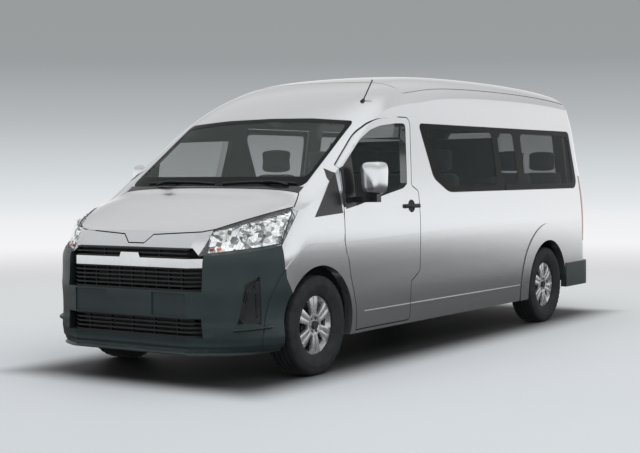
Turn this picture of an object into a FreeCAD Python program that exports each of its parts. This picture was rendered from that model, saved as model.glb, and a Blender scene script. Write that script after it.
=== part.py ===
import FreeCAD, Part
import math
import os

V = FreeCAD.Vector
os.makedirs("parts", exist_ok=True)
doc = FreeCAD.newDocument("minibus")

# Driving dimensions in millimetres. Heights are above the ground, and a size that ends in _from_axle
# is a distance behind the front axle.
SIZES = [
    ("overall_length", 5915, "front bumper to rear bumper"),
    ("body_width", 1950, "widest point of the body, mirrors folded out are wider"),
    ("overall_height", 2250, "ground to roof crown"),
    ("wheel_base", 3860, "front axle to rear axle"),
    ("front_overhang", 912, "front axle to the foremost point of the bumper"),
    ("front_track", 1675, "between the front tyre centres"),
    ("rear_track", 1670, "between the rear tyre centres"),
    ("side_wall", 60, "thickness of doors and side walls"),
    ("roof_wall", 40, "thickness of the roof"),
    ("door_skin", 18, "outer layer of a door that covers its rebate"),
    ("door_rebate", 16, "step from the door skin's edge to its inner body"),
    ("shut_gap", 8, "gap round everything that opens"),
    ("hinge_clearance", 0.6, "hinge pin in its gap"),
    ("hinge_length", 50, "one hinge pin of a door"),
    ("hinge_depth", 1.2, "axis of the door hinges under the skin"),
    ("seat_gap", 0.3, "clearance between pieces that are fixed to each other"),
    ("cut_overrun", 40, "how far cutters pass through"),
    ("glass_thickness", 5, "side glass"),
    ("screen_thickness", 7, "laminated windscreen"),
    ("sill_height", 245, "lower edge of the body side"),
    ("gutter_height", 2035, "ledge between side wall and roof"),
    ("screen_bend_height", 1430, "seam between front wing and pillar"),
    ("cap_seam_from_axle", 1420, "seam between cab and passenger body"),
    ("crown_front", 22, "camber of the screen across half the width"),
    ("crown_roof", 40, "camber of the roof across half the width"),
    ("shoulder_front", 66, "drop of the rounded edge beside the screen"),
    ("shoulder_roof", 160, "drop of the rounded roof edge"),
    ("nose_bend", 495, "half width of the flat front face"),
    ("nose_wrap", 660, "how far the front corner reaches back"),
    ("nose_taper", 9, "narrowing of the side at the front corner"),
    ("tail_taper", 12, "narrowing of the side at the rear corner"),
    ("tail_corner", 225, "rear corner, measured along the side"),
    ("tail_tuck", 98, "rear face of the body ahead of the bumper's"),
    ("arch_radius", 420, "wheel opening in the body side"),
    ("flare_radius", 582, "outer edge of the raised lip round a wheel opening"),
    ("flare_height", 7, "raised lip round a wheel opening"),
    ("crease_rise", 32, "undercut face of the crease along the belt"),
    ("crease_depth", 12, "crease along the belt"),
    ("crease_run", 130, "how far under the belt the crease fades out"),
    ("ridge_height", 4, "ridge along the sill"),
    ("door_front_from_axle", 315, "front edge of the cab door at the belt"),
    ("door_length", 1085, "cab door at the belt"),
    ("door_bottom_height", 275, "lower edge of the cab door"),
    ("door_top_height", 1850, "upper edge of the cab door frame"),
    ("window_front_from_axle", 1527, "side window, upper front corner"),
    ("window_length", 3050, "side window"),
    ("window_bottom_height", 1245, "side window"),
    ("window_top_height", 1806, "side window"),
    ("window_split_from_axle", 2954, "joint between the side panes"),
    ("slider_front_from_axle", 1446, "sliding door, front edge"),
    ("slider_length", 1280, "sliding door"),
    ("slider_bottom_height", 285, "sliding door, lower edge"),
    ("slider_top_height", 1880, "sliding door, upper edge"),
    ("gate_width_half", 812, "half width of the tailgate"),
    ("gate_bottom_height", 565, "lower edge of the tailgate"),
    ("gate_top_height", 1990, "upper edge of the tailgate"),
    ("bonnet_rear_from_axle", -38, "rear edge of the bonnet ahead of the front axle"),
    ("bonnet_half_width", 888, "bonnet at the upper corner of the headlamp"),
    ("screen_half_width", 806, "windscreen at its lower corners"),
    ("screen_bottom_height", 1322, "windscreen, lower edge"),
    ("screen_top_height", 1842, "windscreen, upper edge at the middle"),
    ("bumper_rear_front_from_axle", 4275, "front end of the rear bumper"),
    ("bumper_rear_top", 530, "upper edge of the rear bumper"),
    ("bumper_rear_bottom", 300, "lower edge of the rear bumper"),
    ("bumper_lip_height", 215, "lowest edge of the front bumper"),
    ("grille_half_width", 600, "outer end of the grille on the side facet"),
    ("grille_face_from_axle", -897, "front face of the grille"),
    ("grille_facet_back", 84, "how far the side facet falls back"),
    ("grille_top", 793, "upper edge of the main grille"),
    ("grille_bottom", 637, "lower edge of the main grille"),
    ("chrome_top", 853, "upper edge of the bright bar"),
    ("vent_top", 921, "upper edge of the slots over the bright bar"),
    ("lower_grille_top", 460, "upper edge of the lower grille"),
    ("lower_grille_bottom", 330, "lower edge of the lower grille"),
    ("slat_depth", 34, "grille slat, front to back"),
    ("slat_thickness", 11, "grille slat"),
    ("bar_depth", 20, "bright bar, front to back"),
    ("plate_panel_half", 205, "half width of the raised blank panel"),
    ("plate_panel_relief", 9, "bumper face behind the raised blank panel"),
    ("tab_half_width", 92, "bright tab over the bright bar"),
    ("lens_thickness", 6, "headlamp lens"),
    ("bowl_depth", 46, "reflector bowls behind the headlamp's surface"),
    ("bowl_radius", 58, "larger reflector bowl"),
    ("tyre_radius", 352, "standing and rolling radius"),
    ("tyre_width", 225, "section width"),
    ("tyre_shoulder", 34, "rounding of the tread's edge"),
    ("tyre_bulge", 9, "side wall beyond the tread's edge"),
    ("rim_radius", 218, "flange of the wheel"),
    ("rim_seat_radius", 203, "bead seat"),
    ("rim_well_radius", 180, "drop centre"),
    ("rim_width", 176, "between the outer faces of the flanges"),
    ("rim_wall", 7, "wall of the barrel"),
    ("rim_disc_depth", 34, "spokes, front to back"),
    ("rim_disc_inset", 12, "spokes behind the outer flange"),
    ("rim_rib_width", 27, "one of a pair of spokes"),
    ("rim_rib_spread", 8, "angle in degrees between a pair's middle and one spoke"),
    ("hub_radius", 66, "centre of the wheel"),
    ("hub_bore_radius", 30, "bore that runs on the stub axle"),
    ("running_clearance", 0.05, "stub axle in its bore"),
    ("lug_circle_radius", 50, "wheel bolts"),
    ("lug_hole_radius", 9, "recess of a wheel bolt"),
    ("kingpin_from_centre", 748, "steering axis, from the middle of the vehicle"),
    ("kingpin_radius", 24, "upright of the knuckle"),
    ("upright_half_height", 104, "upright above and below the hub"),
    ("spindle_overhang", 8, "stub axle beyond the hub"),
    ("arm_thickness", 22, "wishbones"),
    ("arm_half_tip", 30, "wishbone at the ball joint"),
    ("arm_half_root", 118, "wishbone at the frame"),
    ("frame_rail_centre", 465, "frame rail from the middle"),
    ("frame_rail_width", 60, "frame rail"),
    ("frame_rail_height", 72, "frame rail"),
    ("floor_height", 472, "underside of the floor"),
    ("floor_thickness", 38, "floor"),
    ("cross_member_width", 70, "frame cross members"),
    ("jack_pad", 56, "square pad for a jack under a frame rail"),
    ("jack_pad_height", 10, "pad below the frame rail"),
    ("axle_tube_radius", 42, "rear axle"),
    ("differential_radius", 112, "rear axle housing"),
    ("drum_radius", 150, "rear brake drum"),
    ("drum_width", 70, "rear brake drum"),
    ("spring_length", 1300, "leaf spring between its eyes"),
    ("spring_width", 62, "leaf spring"),
    ("spring_leaf", 11, "one leaf"),
    ("spring_leaves", 4, "leaves in a spring"),
    ("engine_length", 720, "engine block with its gearbox bell"),
    ("engine_width", 520, "engine block"),
    ("engine_height", 400, "engine block"),
    ("engine_from_axle", -300, "front of the engine block"),
    ("tank_length", 1050, "fuel tank"),
    ("tank_width", 330, "fuel tank"),
    ("tank_height", 190, "fuel tank"),
    ("tank_from_axle", 1500, "front of the fuel tank"),
    ("exhaust_radius", 30, "exhaust pipe"),
    ("silencer_radius", 85, "silencer"),
    ("silencer_length", 430, "silencer"),
    ("shaft_radius", 36, "propeller shaft"),
    ("liner_wall", 5, "wheel arch liner"),
    ("liner_inner", 540, "inner edge of a wheel arch liner from the middle"),
    ("seat_width", 450, "one seat"),
    ("seat_depth", 500, "seat cushion, front to back"),
    ("seat_pad", 130, "thickness of a seat cushion"),
    ("seat_softness", 34, "rounding of the cushions"),
    ("seat_back_height", 640, "back rest"),
    ("seat_back_pad", 120, "thickness of a back rest"),
    ("seat_height", 800, "underside of a front cushion"),
    ("seat_lean", 10, "lean of the back rests in degrees"),
    ("head_width", 270, "head rest"),
    ("head_height", 190, "head rest"),
    ("row_pitch", 720, "between two rows of seats"),
    ("row_count", 4, "rows behind the cab"),
    ("row_first_from_axle", 1700, "front edge of the first rear row"),
    ("cab_seat_from_axle", 760, "front edge of the cab seats"),
    ("dash_front_from_axle", 60, "front of the dashboard"),
    ("dash_depth", 460, "dashboard, front to back"),
    ("dash_top_height", 1290, "top of the dashboard"),
    ("dash_bottom_height", 900, "underside of the dashboard"),
    ("steering_radius", 190, "steering wheel"),
    ("steering_rim", 15, "steering wheel rim"),
    ("mirror_width", 190, "mirror housing across the vehicle"),
    ("mirror_depth", 120, "mirror housing, front to back"),
    ("mirror_height", 235, "mirror housing"),
    ("mirror_bottom_height", 1262, "lower edge of the mirror housing"),
    ("mirror_from_axle", 505, "middle of the mirror housing"),
    ("mirror_reach", 1090, "middle of the mirror housing from the middle of the vehicle"),
    ("aerial_radius", 5, "aerial rod"),
    ("aerial_length", 220, "aerial rod"),
    ("aerial_lean", 40, "aerial from upright in degrees"),
    ("aerial_from_axle", 1010, "aerial on the roof"),
    ("aerial_from_centre", 690, "aerial from the middle"),
    ("door_floor_clearance", 30, "floor short of the cab doors' inner faces"),
    ("bulkhead_from_axle", 450, "lower part of the bulkhead, behind the front wheels"),
    ("bulkhead_wall", 12, "bulkhead plate"),
    ("bulkhead_step_height", 812, "step of the bulkhead over the footwell"),
    ("bulkhead_top_from_axle", 80, "upper part of the bulkhead, under the screen"),
    ("bulkhead_top_height", 1200, "upper edge of the bulkhead"),
    ("rear_liner_inner", 668, "inner edge of a rear wheel arch from the middle"),
    ("engine_bottom_height", 385, "underside of the engine block"),
    ("gearbox_width", 230, "gearbox"),
    ("gearbox_length", 700, "gearbox"),
    ("gearbox_height", 150, "gearbox"),
    ("gearbox_drop", 65, "gearbox below the engine block's underside"),
    ("exhaust_from_centre", 575, "exhaust line from the middle"),
    ("exhaust_from_axle", 560, "front end of the exhaust line"),
    ("silencer_from_axle", 4310, "front end of the silencer"),
    ("tail_pipe_length", 190, "tail pipe"),
    ("tail_pipe_turn", 38, "tail pipe, downwards from level, in degrees"),
    ("brake_radius", 140, "front brake"),
    ("brake_width", 22, "front brake"),
    ("brake_from_centre", 800, "front brake, inner face"),
    ("rear_drum_from_centre", 690, "rear drum, inner face"),
    ("plinth_half_width", 50, "half of a seat pedestal"),
    ("cab_seat_from_centre", 430, "middle of a cab seat"),
    ("row_outer_seat", 600, "middle of a window seat"),
    ("row_inner_seat", 110, "middle of an aisle seat"),
    ("dash_half_width", 860, "half width of the dashboard"),
    ("column_length", 330, "steering column"),
    ("steering_tilt", 62, "steering wheel from level, in degrees"),
]

sheet = doc.addObject("Spreadsheet::Sheet", "sizes")
for row, (alias, amount, note) in enumerate(SIZES, start=1):
    sheet.set(f"A{row}", alias)
    sheet.set(f"B{row}", str(amount))
    sheet.set(f"C{row}", note)
    sheet.setAlias(f"B{row}", alias)
doc.recompute()


def size(alias):
    return float(sheet.get(alias))


nodes = {}


def keep(name, feature):
    """The feature becomes the sub-part of this name."""
    feature.Label = name
    nodes[name] = feature
    return feature


def keep_shape(name, shape, place=V(0, 0, 0)):
    """A sub-part that only free-form surfaces can give."""
    feature = doc.addObject("Part::Feature", name)
    feature.Shape = shape
    feature.Placement = FreeCAD.Placement(place, FreeCAD.Rotation())
    return keep(name, feature)


length = size("overall_length")
height = size("overall_height")
half_width = size("body_width") / 2
nose_y = -length / 2
tail_y = length / 2
axle_y = nose_y + size("front_overhang")
rear_axle_y = axle_y + size("wheel_base")
wheel_z = size("tyre_radius")
overrun = size("cut_overrun")
wall = size("side_wall")
gap = size("shut_gap")
seat = size("seat_gap")


def behind(alias):
    """Place along the vehicle of a size that is measured from the front axle."""
    return axle_y + size(alias)


# Body form. Each level is a plan outline: its height, its half width, the setback of the front face
# and the setback of the rear face, as shares of the height, the half width and the length.
level_shares = [
    (0.045, 0.955, 0.0055, 0.0),
    (0.109, 0.965, 0.0015, 0.0),
    (0.176, 0.983, 0.0001, 0.0),
    (0.284, 0.991, 0, 0.0),
    (0.352, 0.996, 0.002, 0.001),
    (0.379, 0.998, 0.0034, 0.0015),
    (0.41, 1.0, 0.0113, 0.0025),
    (0.458, 1.0, 0.0215, 0.004),
    (0.556, 0.985, 0.035, 0.008),
    (0.667, 0.952, 0.053, 0.0135),
    (0.8, 0.908, 0.072, 0.0175),
    (0.87, 0.89, 0.082, 0.026),
    (0.916, 0.879, 0.087, 0.0385),
    (1.07, 0.845, 0.097, 0.09),
]

# Crown line of bonnet, screen and roof on the middle plane: shares of the length and the height.
crown_shares = [
    (-0.036, 0.372),
    (-0.003, 0.424),
    (0.022, 0.459),
    (0.053, 0.492),
    (0.087, 0.524),
    (0.12, 0.554),
    (0.144, 0.576),
    (0.164, 0.61),
    (0.218, 0.708),
    (0.281, 0.82),
    (0.309, 0.864),
    (0.348, 0.916),
    (0.393, 0.956),
    (0.442, 0.979),
    (0.543, 0.996),
    (0.697, 1.0),
    (0.832, 0.993),
    (0.932, 0.976),
    (0.997, 0.955),
    (1.047, 0.935),
]


def plan_outline(level, inset):
    """Closed plan outline at one level: flat front, round corners, bowed sides and flat rear."""
    height_share, width_share, nose_share, tail_share = level
    z = height_share * height
    front = nose_y + nose_share * length + inset
    rear = tail_y - size("tail_tuck") - tail_share * length - inset
    widest = width_share * half_width - inset
    at_nose = widest - size("nose_taper")
    at_tail = widest - size("tail_taper")
    bend = size("nose_bend")
    wrap = size("nose_wrap")
    corner = size("tail_corner")
    nose_lead_share, nose_drop_share, nose_hold_share = 0.655, 0.175, 0.38
    tail_hold_share = 0.56

    def flank(side):
        start = V(side * bend, front, z)
        end = V(side * at_nose, front + wrap, z)
        lead = V(side * (bend + nose_lead_share * (at_nose - bend)), front + nose_drop_share * wrap, z)
        hold = V(side * at_nose, front + nose_hold_share * wrap, z)
        nose = Part.BezierCurve()
        nose.setPoles([start, lead, hold, end])
        turn = V(side * at_tail, rear - corner, z)
        bow = Part.Arc(end, V(side * widest, (end.y + turn.y) / 2, z), turn)
        last = V(side * (at_tail - corner), rear, z)
        tail = Part.BezierCurve()
        tail.setPoles([
            turn,
            turn + V(0, tail_hold_share * corner, 0),
            last + V(side * tail_hold_share * corner, 0, 0),
            last,
        ])
        return [nose.toShape(), bow.toShape(), tail.toShape()], start, last

    left, left_start, left_last = flank(1)
    right, right_start, right_last = flank(-1)
    front_edge = Part.LineSegment(right_start, left_start).toShape()
    rear_edge = Part.LineSegment(left_last, right_last).toShape()
    return Part.Wire([front_edge] + left + [rear_edge] + right[::-1])


def crown_height(curve, y):
    """Height of the crown line at a place along the vehicle, found by halving."""
    low, high = curve.FirstParameter, curve.LastParameter
    for _ in range(40):
        middle = (low + high) / 2
        if curve.value(middle).y < y:
            low = middle
        else:
            high = middle
    return curve.value(low).z


def below_crown(drop):
    """Everything under the bonnet, screen and roof surface, lowered by a wall."""
    crown = Part.BSplineCurve()
    crown.interpolate([V(0, nose_y + a * length, b * height) for a, b in crown_shares])
    stations, columns = 44, 24
    first_share, last_share, side_share = -0.03, 1.045, 1.12
    blend_start_share, blend_end_share = 0.281, 0.437
    rows = []
    for i in range(stations + 1):
        share = first_share + (last_share - first_share) * i / stations
        y = nose_y + share * length
        middle = crown_height(crown, y) - drop
        blend = min(max((share - blend_start_share) / (blend_end_share - blend_start_share), 0), 1)
        blend = blend * blend * (3 - 2 * blend)
        camber = size("crown_front") + (size("crown_roof") - size("crown_front")) * blend
        edge = size("shoulder_front") + (size("shoulder_roof") - size("shoulder_front")) * blend
        reach_share = 0.975 - 0.093 * min(max((share - 0.14) / 0.22, 0), 1)
        reach = reach_share * half_width
        row = []
        for j in range(columns + 1):
            x = side_share * half_width * (2 * j / columns - 1)
            s = abs(x) / reach
            row.append(V(x, y, middle - camber * s ** 2 - edge * s ** 8))
        rows.append(row)
    surface = Part.BSplineSurface()
    surface.interpolate(rows)
    return surface.toShape().extrude(V(0, 0, -2 * height))


def body_form(inset, roof_inset):
    """Solid inside the body surface, moved in by a wall all round."""
    flanks = Part.makeLoft([plan_outline(level, inset) for level in level_shares], True, False)
    return flanks.common(below_crown(roof_inset)).Solids[0]


def rounded(corners):
    """Closed wire on the XY plane through corners given as (a, b, radius)."""
    marks = []
    count = len(corners)
    for i, (a, b, radius) in enumerate(corners):
        here = V(a, b, 0)
        if not radius:
            marks.append([here])
            continue
        before = V(*corners[i - 1][:2], 0) - here
        after = V(*corners[(i + 1) % count][:2], 0) - here
        half = before.getAngle(after) / 2
        before.normalize()
        after.normalize()
        reach = radius / math.tan(half)
        middle = (before + after).normalize() * (radius / math.sin(half) - radius)
        marks.append([here + before * reach, here + middle, here + after * reach])
    edges = []
    for i, mark in enumerate(marks):
        if len(mark) == 3:
            edges.append(Part.Arc(*mark).toShape())
        start, end = mark[-1], marks[(i + 1) % count][0]
        if start.distanceToPoint(end) > seat:
            edges.append(Part.LineSegment(start, end).toShape())
    return Part.Wire(edges)


def side_prism(corners, near, far, grow=0):
    return swept(corners, grow, lambda p: V(near, p.x, p.y), V(far - near, 0, 0))


def front_prism(corners, near, far, grow=0):
    return swept(corners, grow, lambda p: V(p.x, near, p.y), V(0, far - near, 0))


def plan_prism(corners, near, far, grow=0):
    return swept(corners, grow, lambda p: V(p.x, p.y, near), V(0, 0, far - near))


def swept(corners, grow, place, way):
    wire = rounded(corners)
    if grow:
        wire = wire.makeOffset2D(grow, 2)
    origin = place(V(0, 0, 0))
    along = place(V(1, 0, 0)) - origin
    up = place(V(0, 1, 0)) - origin
    out = along.cross(up)
    turn = FreeCAD.Rotation(along, up, out, "ZXY")
    face = Part.Face(wire)
    face.Placement = FreeCAD.Placement(origin, turn).multiply(face.Placement)
    return face.extrude(way)


def block(x0, x1, y0, y1, z0, z1):
    return Part.makeBox(x1 - x0, y1 - y0, z1 - z0, V(x0, y0, z0))


def mirrored(shape):
    return shape.mirror(V(0, 0, 0), V(1, 0, 0))


def both(shape):
    """The shape and its twin on the other side, as one sub-part of two solids."""
    return Part.makeCompound([shape, mirrored(shape)])


def crown_at(x, y):
    """Height of the outer surface over a place in plan."""
    probe = Part.makeLine(V(x, y, height / 2), V(x, y, 2 * height))
    return min(v.Z for v in probe.cut(outer).Vertexes)


def single(shape):
    """The one solid that a boolean leaves, with stray slivers dropped."""
    solids = sorted(shape.Solids, key=lambda s: s.Volume, reverse=True)
    return solids[0]


wide = half_width + overrun
inner_share = 0.83
inboard = inner_share * half_width
door_inner_share = 0.868
door_inboard = door_inner_share * half_width
tall = height + overrun
roof_wall = size("roof_wall")
cab_seam = behind("cap_seam_from_axle")
sill = size("sill_height")
gutter = size("gutter_height")
nose_edge = nose_y - overrun
tail_edge = tail_y + overrun

# The body between its outer surface and walls of several depths.
outer = body_form(0, 0)
cavity = body_form(wall, roof_wall)
under_skin = body_form(size("door_skin"), size("door_skin"))
under_glass = body_form(size("glass_thickness"), size("screen_thickness"))
under_lens = body_form(size("lens_thickness"), size("lens_thickness"))
pane_skin = outer.cut(under_glass)


def skin_place(x, y, z, way):
    """Point on the outer surface along a line from a place inside the body."""
    ray = Part.makeLine(V(x, y, z), V(x, y, z) + way * length)
    inside = ray.common(outer)
    return max((v.Point for v in inside.Vertexes), key=lambda p: p.dot(way))


def side_band(line, profile, stations):
    """Long narrow solid on the left flank. The line holds distances behind the front axle, heights and
    scales, and the profile holds heights over the line and depths under the surface."""
    guide = Part.BSplineCurve()
    guide.interpolate([V(axle_y + a, b, c) for a, b, c in line])
    first, last = guide.FirstParameter, guide.LastParameter
    sections = []
    for i in range(stations + 1):
        at = guide.value(first + (last - first) * i / stations)
        corners = []
        for rise, depth in profile:
            z = at.y + rise * at.z
            corners.append(V(skin_place(0, at.x, z, V(1, 0, 0)).x - depth * at.z, at.x, z))
        sections.append(Part.makePolygon(corners + corners[:1]))
    return Part.makeLoft(sections, True, False)


# Creases of the flank: distance behind the front axle, height, and share of the full size.
belt_line = [(-243, 975, 0.3), (312, 1018, 0.7), (1455, 1076, 1), (2309, 1087, 1), (3500, 1076, 1), (4690, 1050, 0.9)]
ridge_line = [(530, 399, 0.7), (1500, 397, 1), (2600, 393, 1), (3300, 391, 0.6)]


def flare(y):
    """Raised lip round a wheel opening on the left side."""
    radius, inner = size("flare_radius"), size("arch_radius")
    ring_zone = Part.makeCylinder(radius, wide - inboard, V(inboard, y, wheel_z), V(1, 0, 0))
    ring_zone = ring_zone.cut(Part.makeCylinder(inner - gap, wide - inboard, V(inboard, y, wheel_z), V(1, 0, 0)))
    ring_zone = ring_zone.cut(block(0, wide, y - radius, y + radius, 0, sill))
    return proud.common(ring_zone).cut(under_skin)


proud = body_form(-size("flare_height"), 0)
rise, deep, run = size("crease_rise"), size("crease_depth"), size("crease_run")
belt = side_band(belt_line, [(rise, 0), (rise / 4, deep), (-run, 0), (-run, -deep), (rise, -deep)], 16)
ridge = size("ridge_height")
sill_ridge = side_band(ridge_line, [(3 * ridge, ridge), (0, -ridge), (-3 * ridge, ridge)], 8)
flares = [flare(axle_y), flare(rear_axle_y)]
added = flares + [sill_ridge]
form = outer.cut(belt).cut(mirrored(belt))
for piece in added + [mirrored(s) for s in added]:
    form = form.fuse(piece).Solids[0]
shell = form.cut(cavity)
skin = form.cut(under_skin)


def spread(shares, y_from, y_span, z_from, z_span):
    """Corners of an outline from shares of a span along the vehicle and of a height."""
    return [(y_from + a * y_span, z_from + b * z_span, c * y_span) for a, b, c in shares]


# Cab door, seen from the side: shares of its length and height, and of its length for each corner.
door_shares = [
    (0.156, 0.0, 0.0), (0.873, 0.0, 0.03), (0.873, 0.19, 0.02), (1.0, 0.235, 0.04), (0.993, 0.63, 0.02),
    (0.9, 0.66, 0.03), (1.0, 0.996, 0.05), (0.78, 0.994, 1.0), (0.586, 0.984, 1.0), (0.457, 0.967, 0.42),
    (0.3, 0.911, 0.9), (-0.012, 0.755, 0.02), (0.0, 0.556, 0.0), (0.0, 0.412, 0.0),
    (0.042, 0.326, 0.1), (0.067, 0.258, 0.1), (0.112, 0.177, 0.1), (0.141, 0.111, 0.1), (0.156, 0.049, 0.1),
]
door_window_shares = [
    (0.02, 0.559, 0.0), (0.164, 0.574, 0.0), (0.577, 0.624, 0.0), (0.789, 0.648, 0.03), (0.845, 0.668, 0.02),
    (0.93, 0.967, 0.03), (0.799, 0.966, 0.5), (0.576, 0.951, 0.5), (0.437, 0.928, 0.3), (0.293, 0.883, 0.3),
    (0.036, 0.757, 0.02),
]
door_front = behind("door_front_from_axle")
door_length = size("door_length")
door_bottom = size("door_bottom_height")
door_rise = size("door_top_height") - door_bottom
door_outline = spread(door_shares, door_front, door_length, door_bottom, door_rise)
door_window = spread(door_window_shares, door_front, door_length, door_bottom, door_rise)
door_opening = side_prism(door_outline, door_inboard - gap, wide, gap)

window_shares = [
    (0.0, 1.0, 0.012), (0.045, 0.22, 0.04), (0.122, 0.012, 0.09), (1.0, 0.012, 0.03), (0.985, 1.0, 0.018),
]
window_front = behind("window_front_from_axle")
window_length = size("window_length")
window_bottom = size("window_bottom_height")
window_rise = size("window_top_height") - window_bottom
window_outline = spread(window_shares, window_front, window_length, window_bottom, window_rise)

arches = Part.makeCompound([
    Part.makeCylinder(size("arch_radius"), 2 * wide, V(-wide, y, wheel_z), V(1, 0, 0))
    for y in (axle_y, rear_axle_y)
])

# Edges shared by headlamp, bumper and wing, in shares of the front overhang and the overall height.
lamp_edge_shares = [(-0.2356, 0.531), (-0.466, 0.4135)]
bumper_edge_shares = [(-0.4364, 0.317), (-0.3783, 0.278), (-0.3467, 0.24)]
bowl_shares = [(0.805, 0.455, 1.0), (0.68, 0.438, 0.72)]
overhang = size("front_overhang")


def front_points(shares):
    return [(axle_y + a * overhang, b * height, 0) for a, b in shares]


# Upright pocket at each end of the front bumper, seen from the side.
pocket_shares = [(-0.768, 0.303), (-0.667, 0.327), (-0.654, 0.183), (-0.818, 0.183)]
lamp_edge = front_points(lamp_edge_shares)
bumper_edge = front_points(bumper_edge_shares)
lamp_floor = front_points([(-0.890, 0.390), (-1.12, 0.379)])

# Bonnet, lamps and nose in the front view: shares of the half width and the height.
bonnet_edge_shares = [
    (0.070, 0.423), (0.133, 0.4485), (0.543, 0.459), (0.623, 0.466), (0.912, 0.529),
]


def front_outline(shares):
    """Outline that is the same on both sides, from its right-hand half."""
    right = [(a * half_width, b * height, 0) for a, b in shares]
    left = [(-a, b, c) for a, b, c in right[::-1]]
    return left + right


bonnet_top = 0.75 * height
bonnet_edge = front_outline(bonnet_edge_shares + [(0.912, 0.75)])
bonnet_rear = behind("bonnet_rear_from_axle")
lamp_corner = lamp_edge[0][0]
bonnet_half = size("bonnet_half_width")
screen_half = size("screen_half_width")
bonnet_plan = [
    (-bonnet_half, nose_edge, 0), (bonnet_half, nose_edge, 0), (bonnet_half, lamp_corner, 0),
    (screen_half, bonnet_rear, 0), (-screen_half, bonnet_rear, 0), (-bonnet_half, lamp_corner, 0),
]


def bonnet_cutter(grow):
    ahead = front_prism(bonnet_edge, nose_edge, bonnet_rear + overrun, grow)
    return ahead.common(plan_prism(bonnet_plan, sill, tall, grow))


screen_bottom = size("screen_bottom_height")
screen_top = size("screen_top_height")
screen_shares = [(1.0, 0.0, 0.05), (0.965, 0.93, 0.05), (0.5, 0.985, 0.0), (0.0, 1.0, 0.0)]
screen_right = [
    (a * screen_half, screen_bottom + b * (screen_top - screen_bottom), c * screen_half)
    for a, b, c in screen_shares
]
screen_outline = screen_right[:3] + [(0, screen_top, 0)] + [(-a, b, c) for a, b, c in screen_right[2::-1]]
screen_opening = front_prism(screen_outline, nose_edge, cab_seam)


def make_bonnet():
    keep_shape("bonnet_panel", single(skin.common(bonnet_cutter(0))))


def make_windscreen():
    pane = front_prism(screen_outline, nose_edge, cab_seam, -seat)
    keep_shape("windscreen", single(pane_skin.common(pane)))


def make_cowl():
    """Black panel between bonnet and screen."""
    keep_shape("cowl_panel", single(shell.common(cowl_strip).cut(bonnet_opening)))


front_shell = shell.common(block(-wide, wide, nose_edge, cab_seam, 0, tall))
bonnet_opening = bonnet_cutter(gap)
cowl_strip = block(-screen_half, screen_half, bonnet_rear + gap, door_front, sill, screen_bottom)
open_front = front_shell.cut(bonnet_opening).cut(screen_opening).cut(cowl_strip).cut(arches)
wing_top = size("screen_bend_height")
door_openings = door_opening.fuse(mirrored(door_opening))

trim_shares = [(-0.0734, 0.493, 0.0), (0.26, 0.645, 0.0), (0.3243, 0.502, 0.0)]
trim_outline = [(axle_y + a * overhang, b * height, 0) for a, b, c in trim_shares]


def make_wings():
    edge = [lamp_edge[0], lamp_edge[1]] + bumper_edge
    rear = door_front + 0.26 * door_length
    corners = [
        (lamp_edge[0][0], wing_top, 0), *edge, (axle_y, wheel_z, 0), (axle_y, sill, 0),
        (door_front + 0.148 * door_length, sill, 0), (door_front + 0.148 * door_length, door_bottom, 0),
        (rear, door_bottom, 0), (rear, wing_top, 0),
    ]
    zone = side_prism(corners, 0, wide)
    wing = open_front.common(zone).cut(door_opening)
    wing = single(wing.cut(side_prism(trim_outline, inboard, wide)))
    keep_shape("front_wing_left", wing)
    keep_shape("front_wing_right", mirrored(wing))
    plate = single(skin.common(side_prism(trim_outline, inboard, wide, -seat)))
    keep_shape("quarter_trims", both(plate))


# Foot of the pillar behind the cab door, which belongs to the side panel.
pillar_shares = [(1.0186, 0.805), (0.85, 0.64), (0.85, 0.0), (1.0186, 0.0)]
pillar_y = [door_front + a * door_length for a, b in pillar_shares]
pillar_outline = [(cab_seam, gutter - 6 * wall, 0), (pillar_y[1], wing_top + 3 * wall, 0)]


def make_cab_upper():
    zone = block(-wide, wide, axle_y, cab_seam, wing_top, tall)
    foot = side_prism(pillar_outline + [(pillar_y[1], sill, 0), (cab_seam, sill, 0)], -wide, wide)
    trim = side_prism(trim_outline, -wide, wide)
    keep_shape("cab_upper", single(open_front.common(zone).cut(door_openings).cut(foot).cut(trim)))


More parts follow.
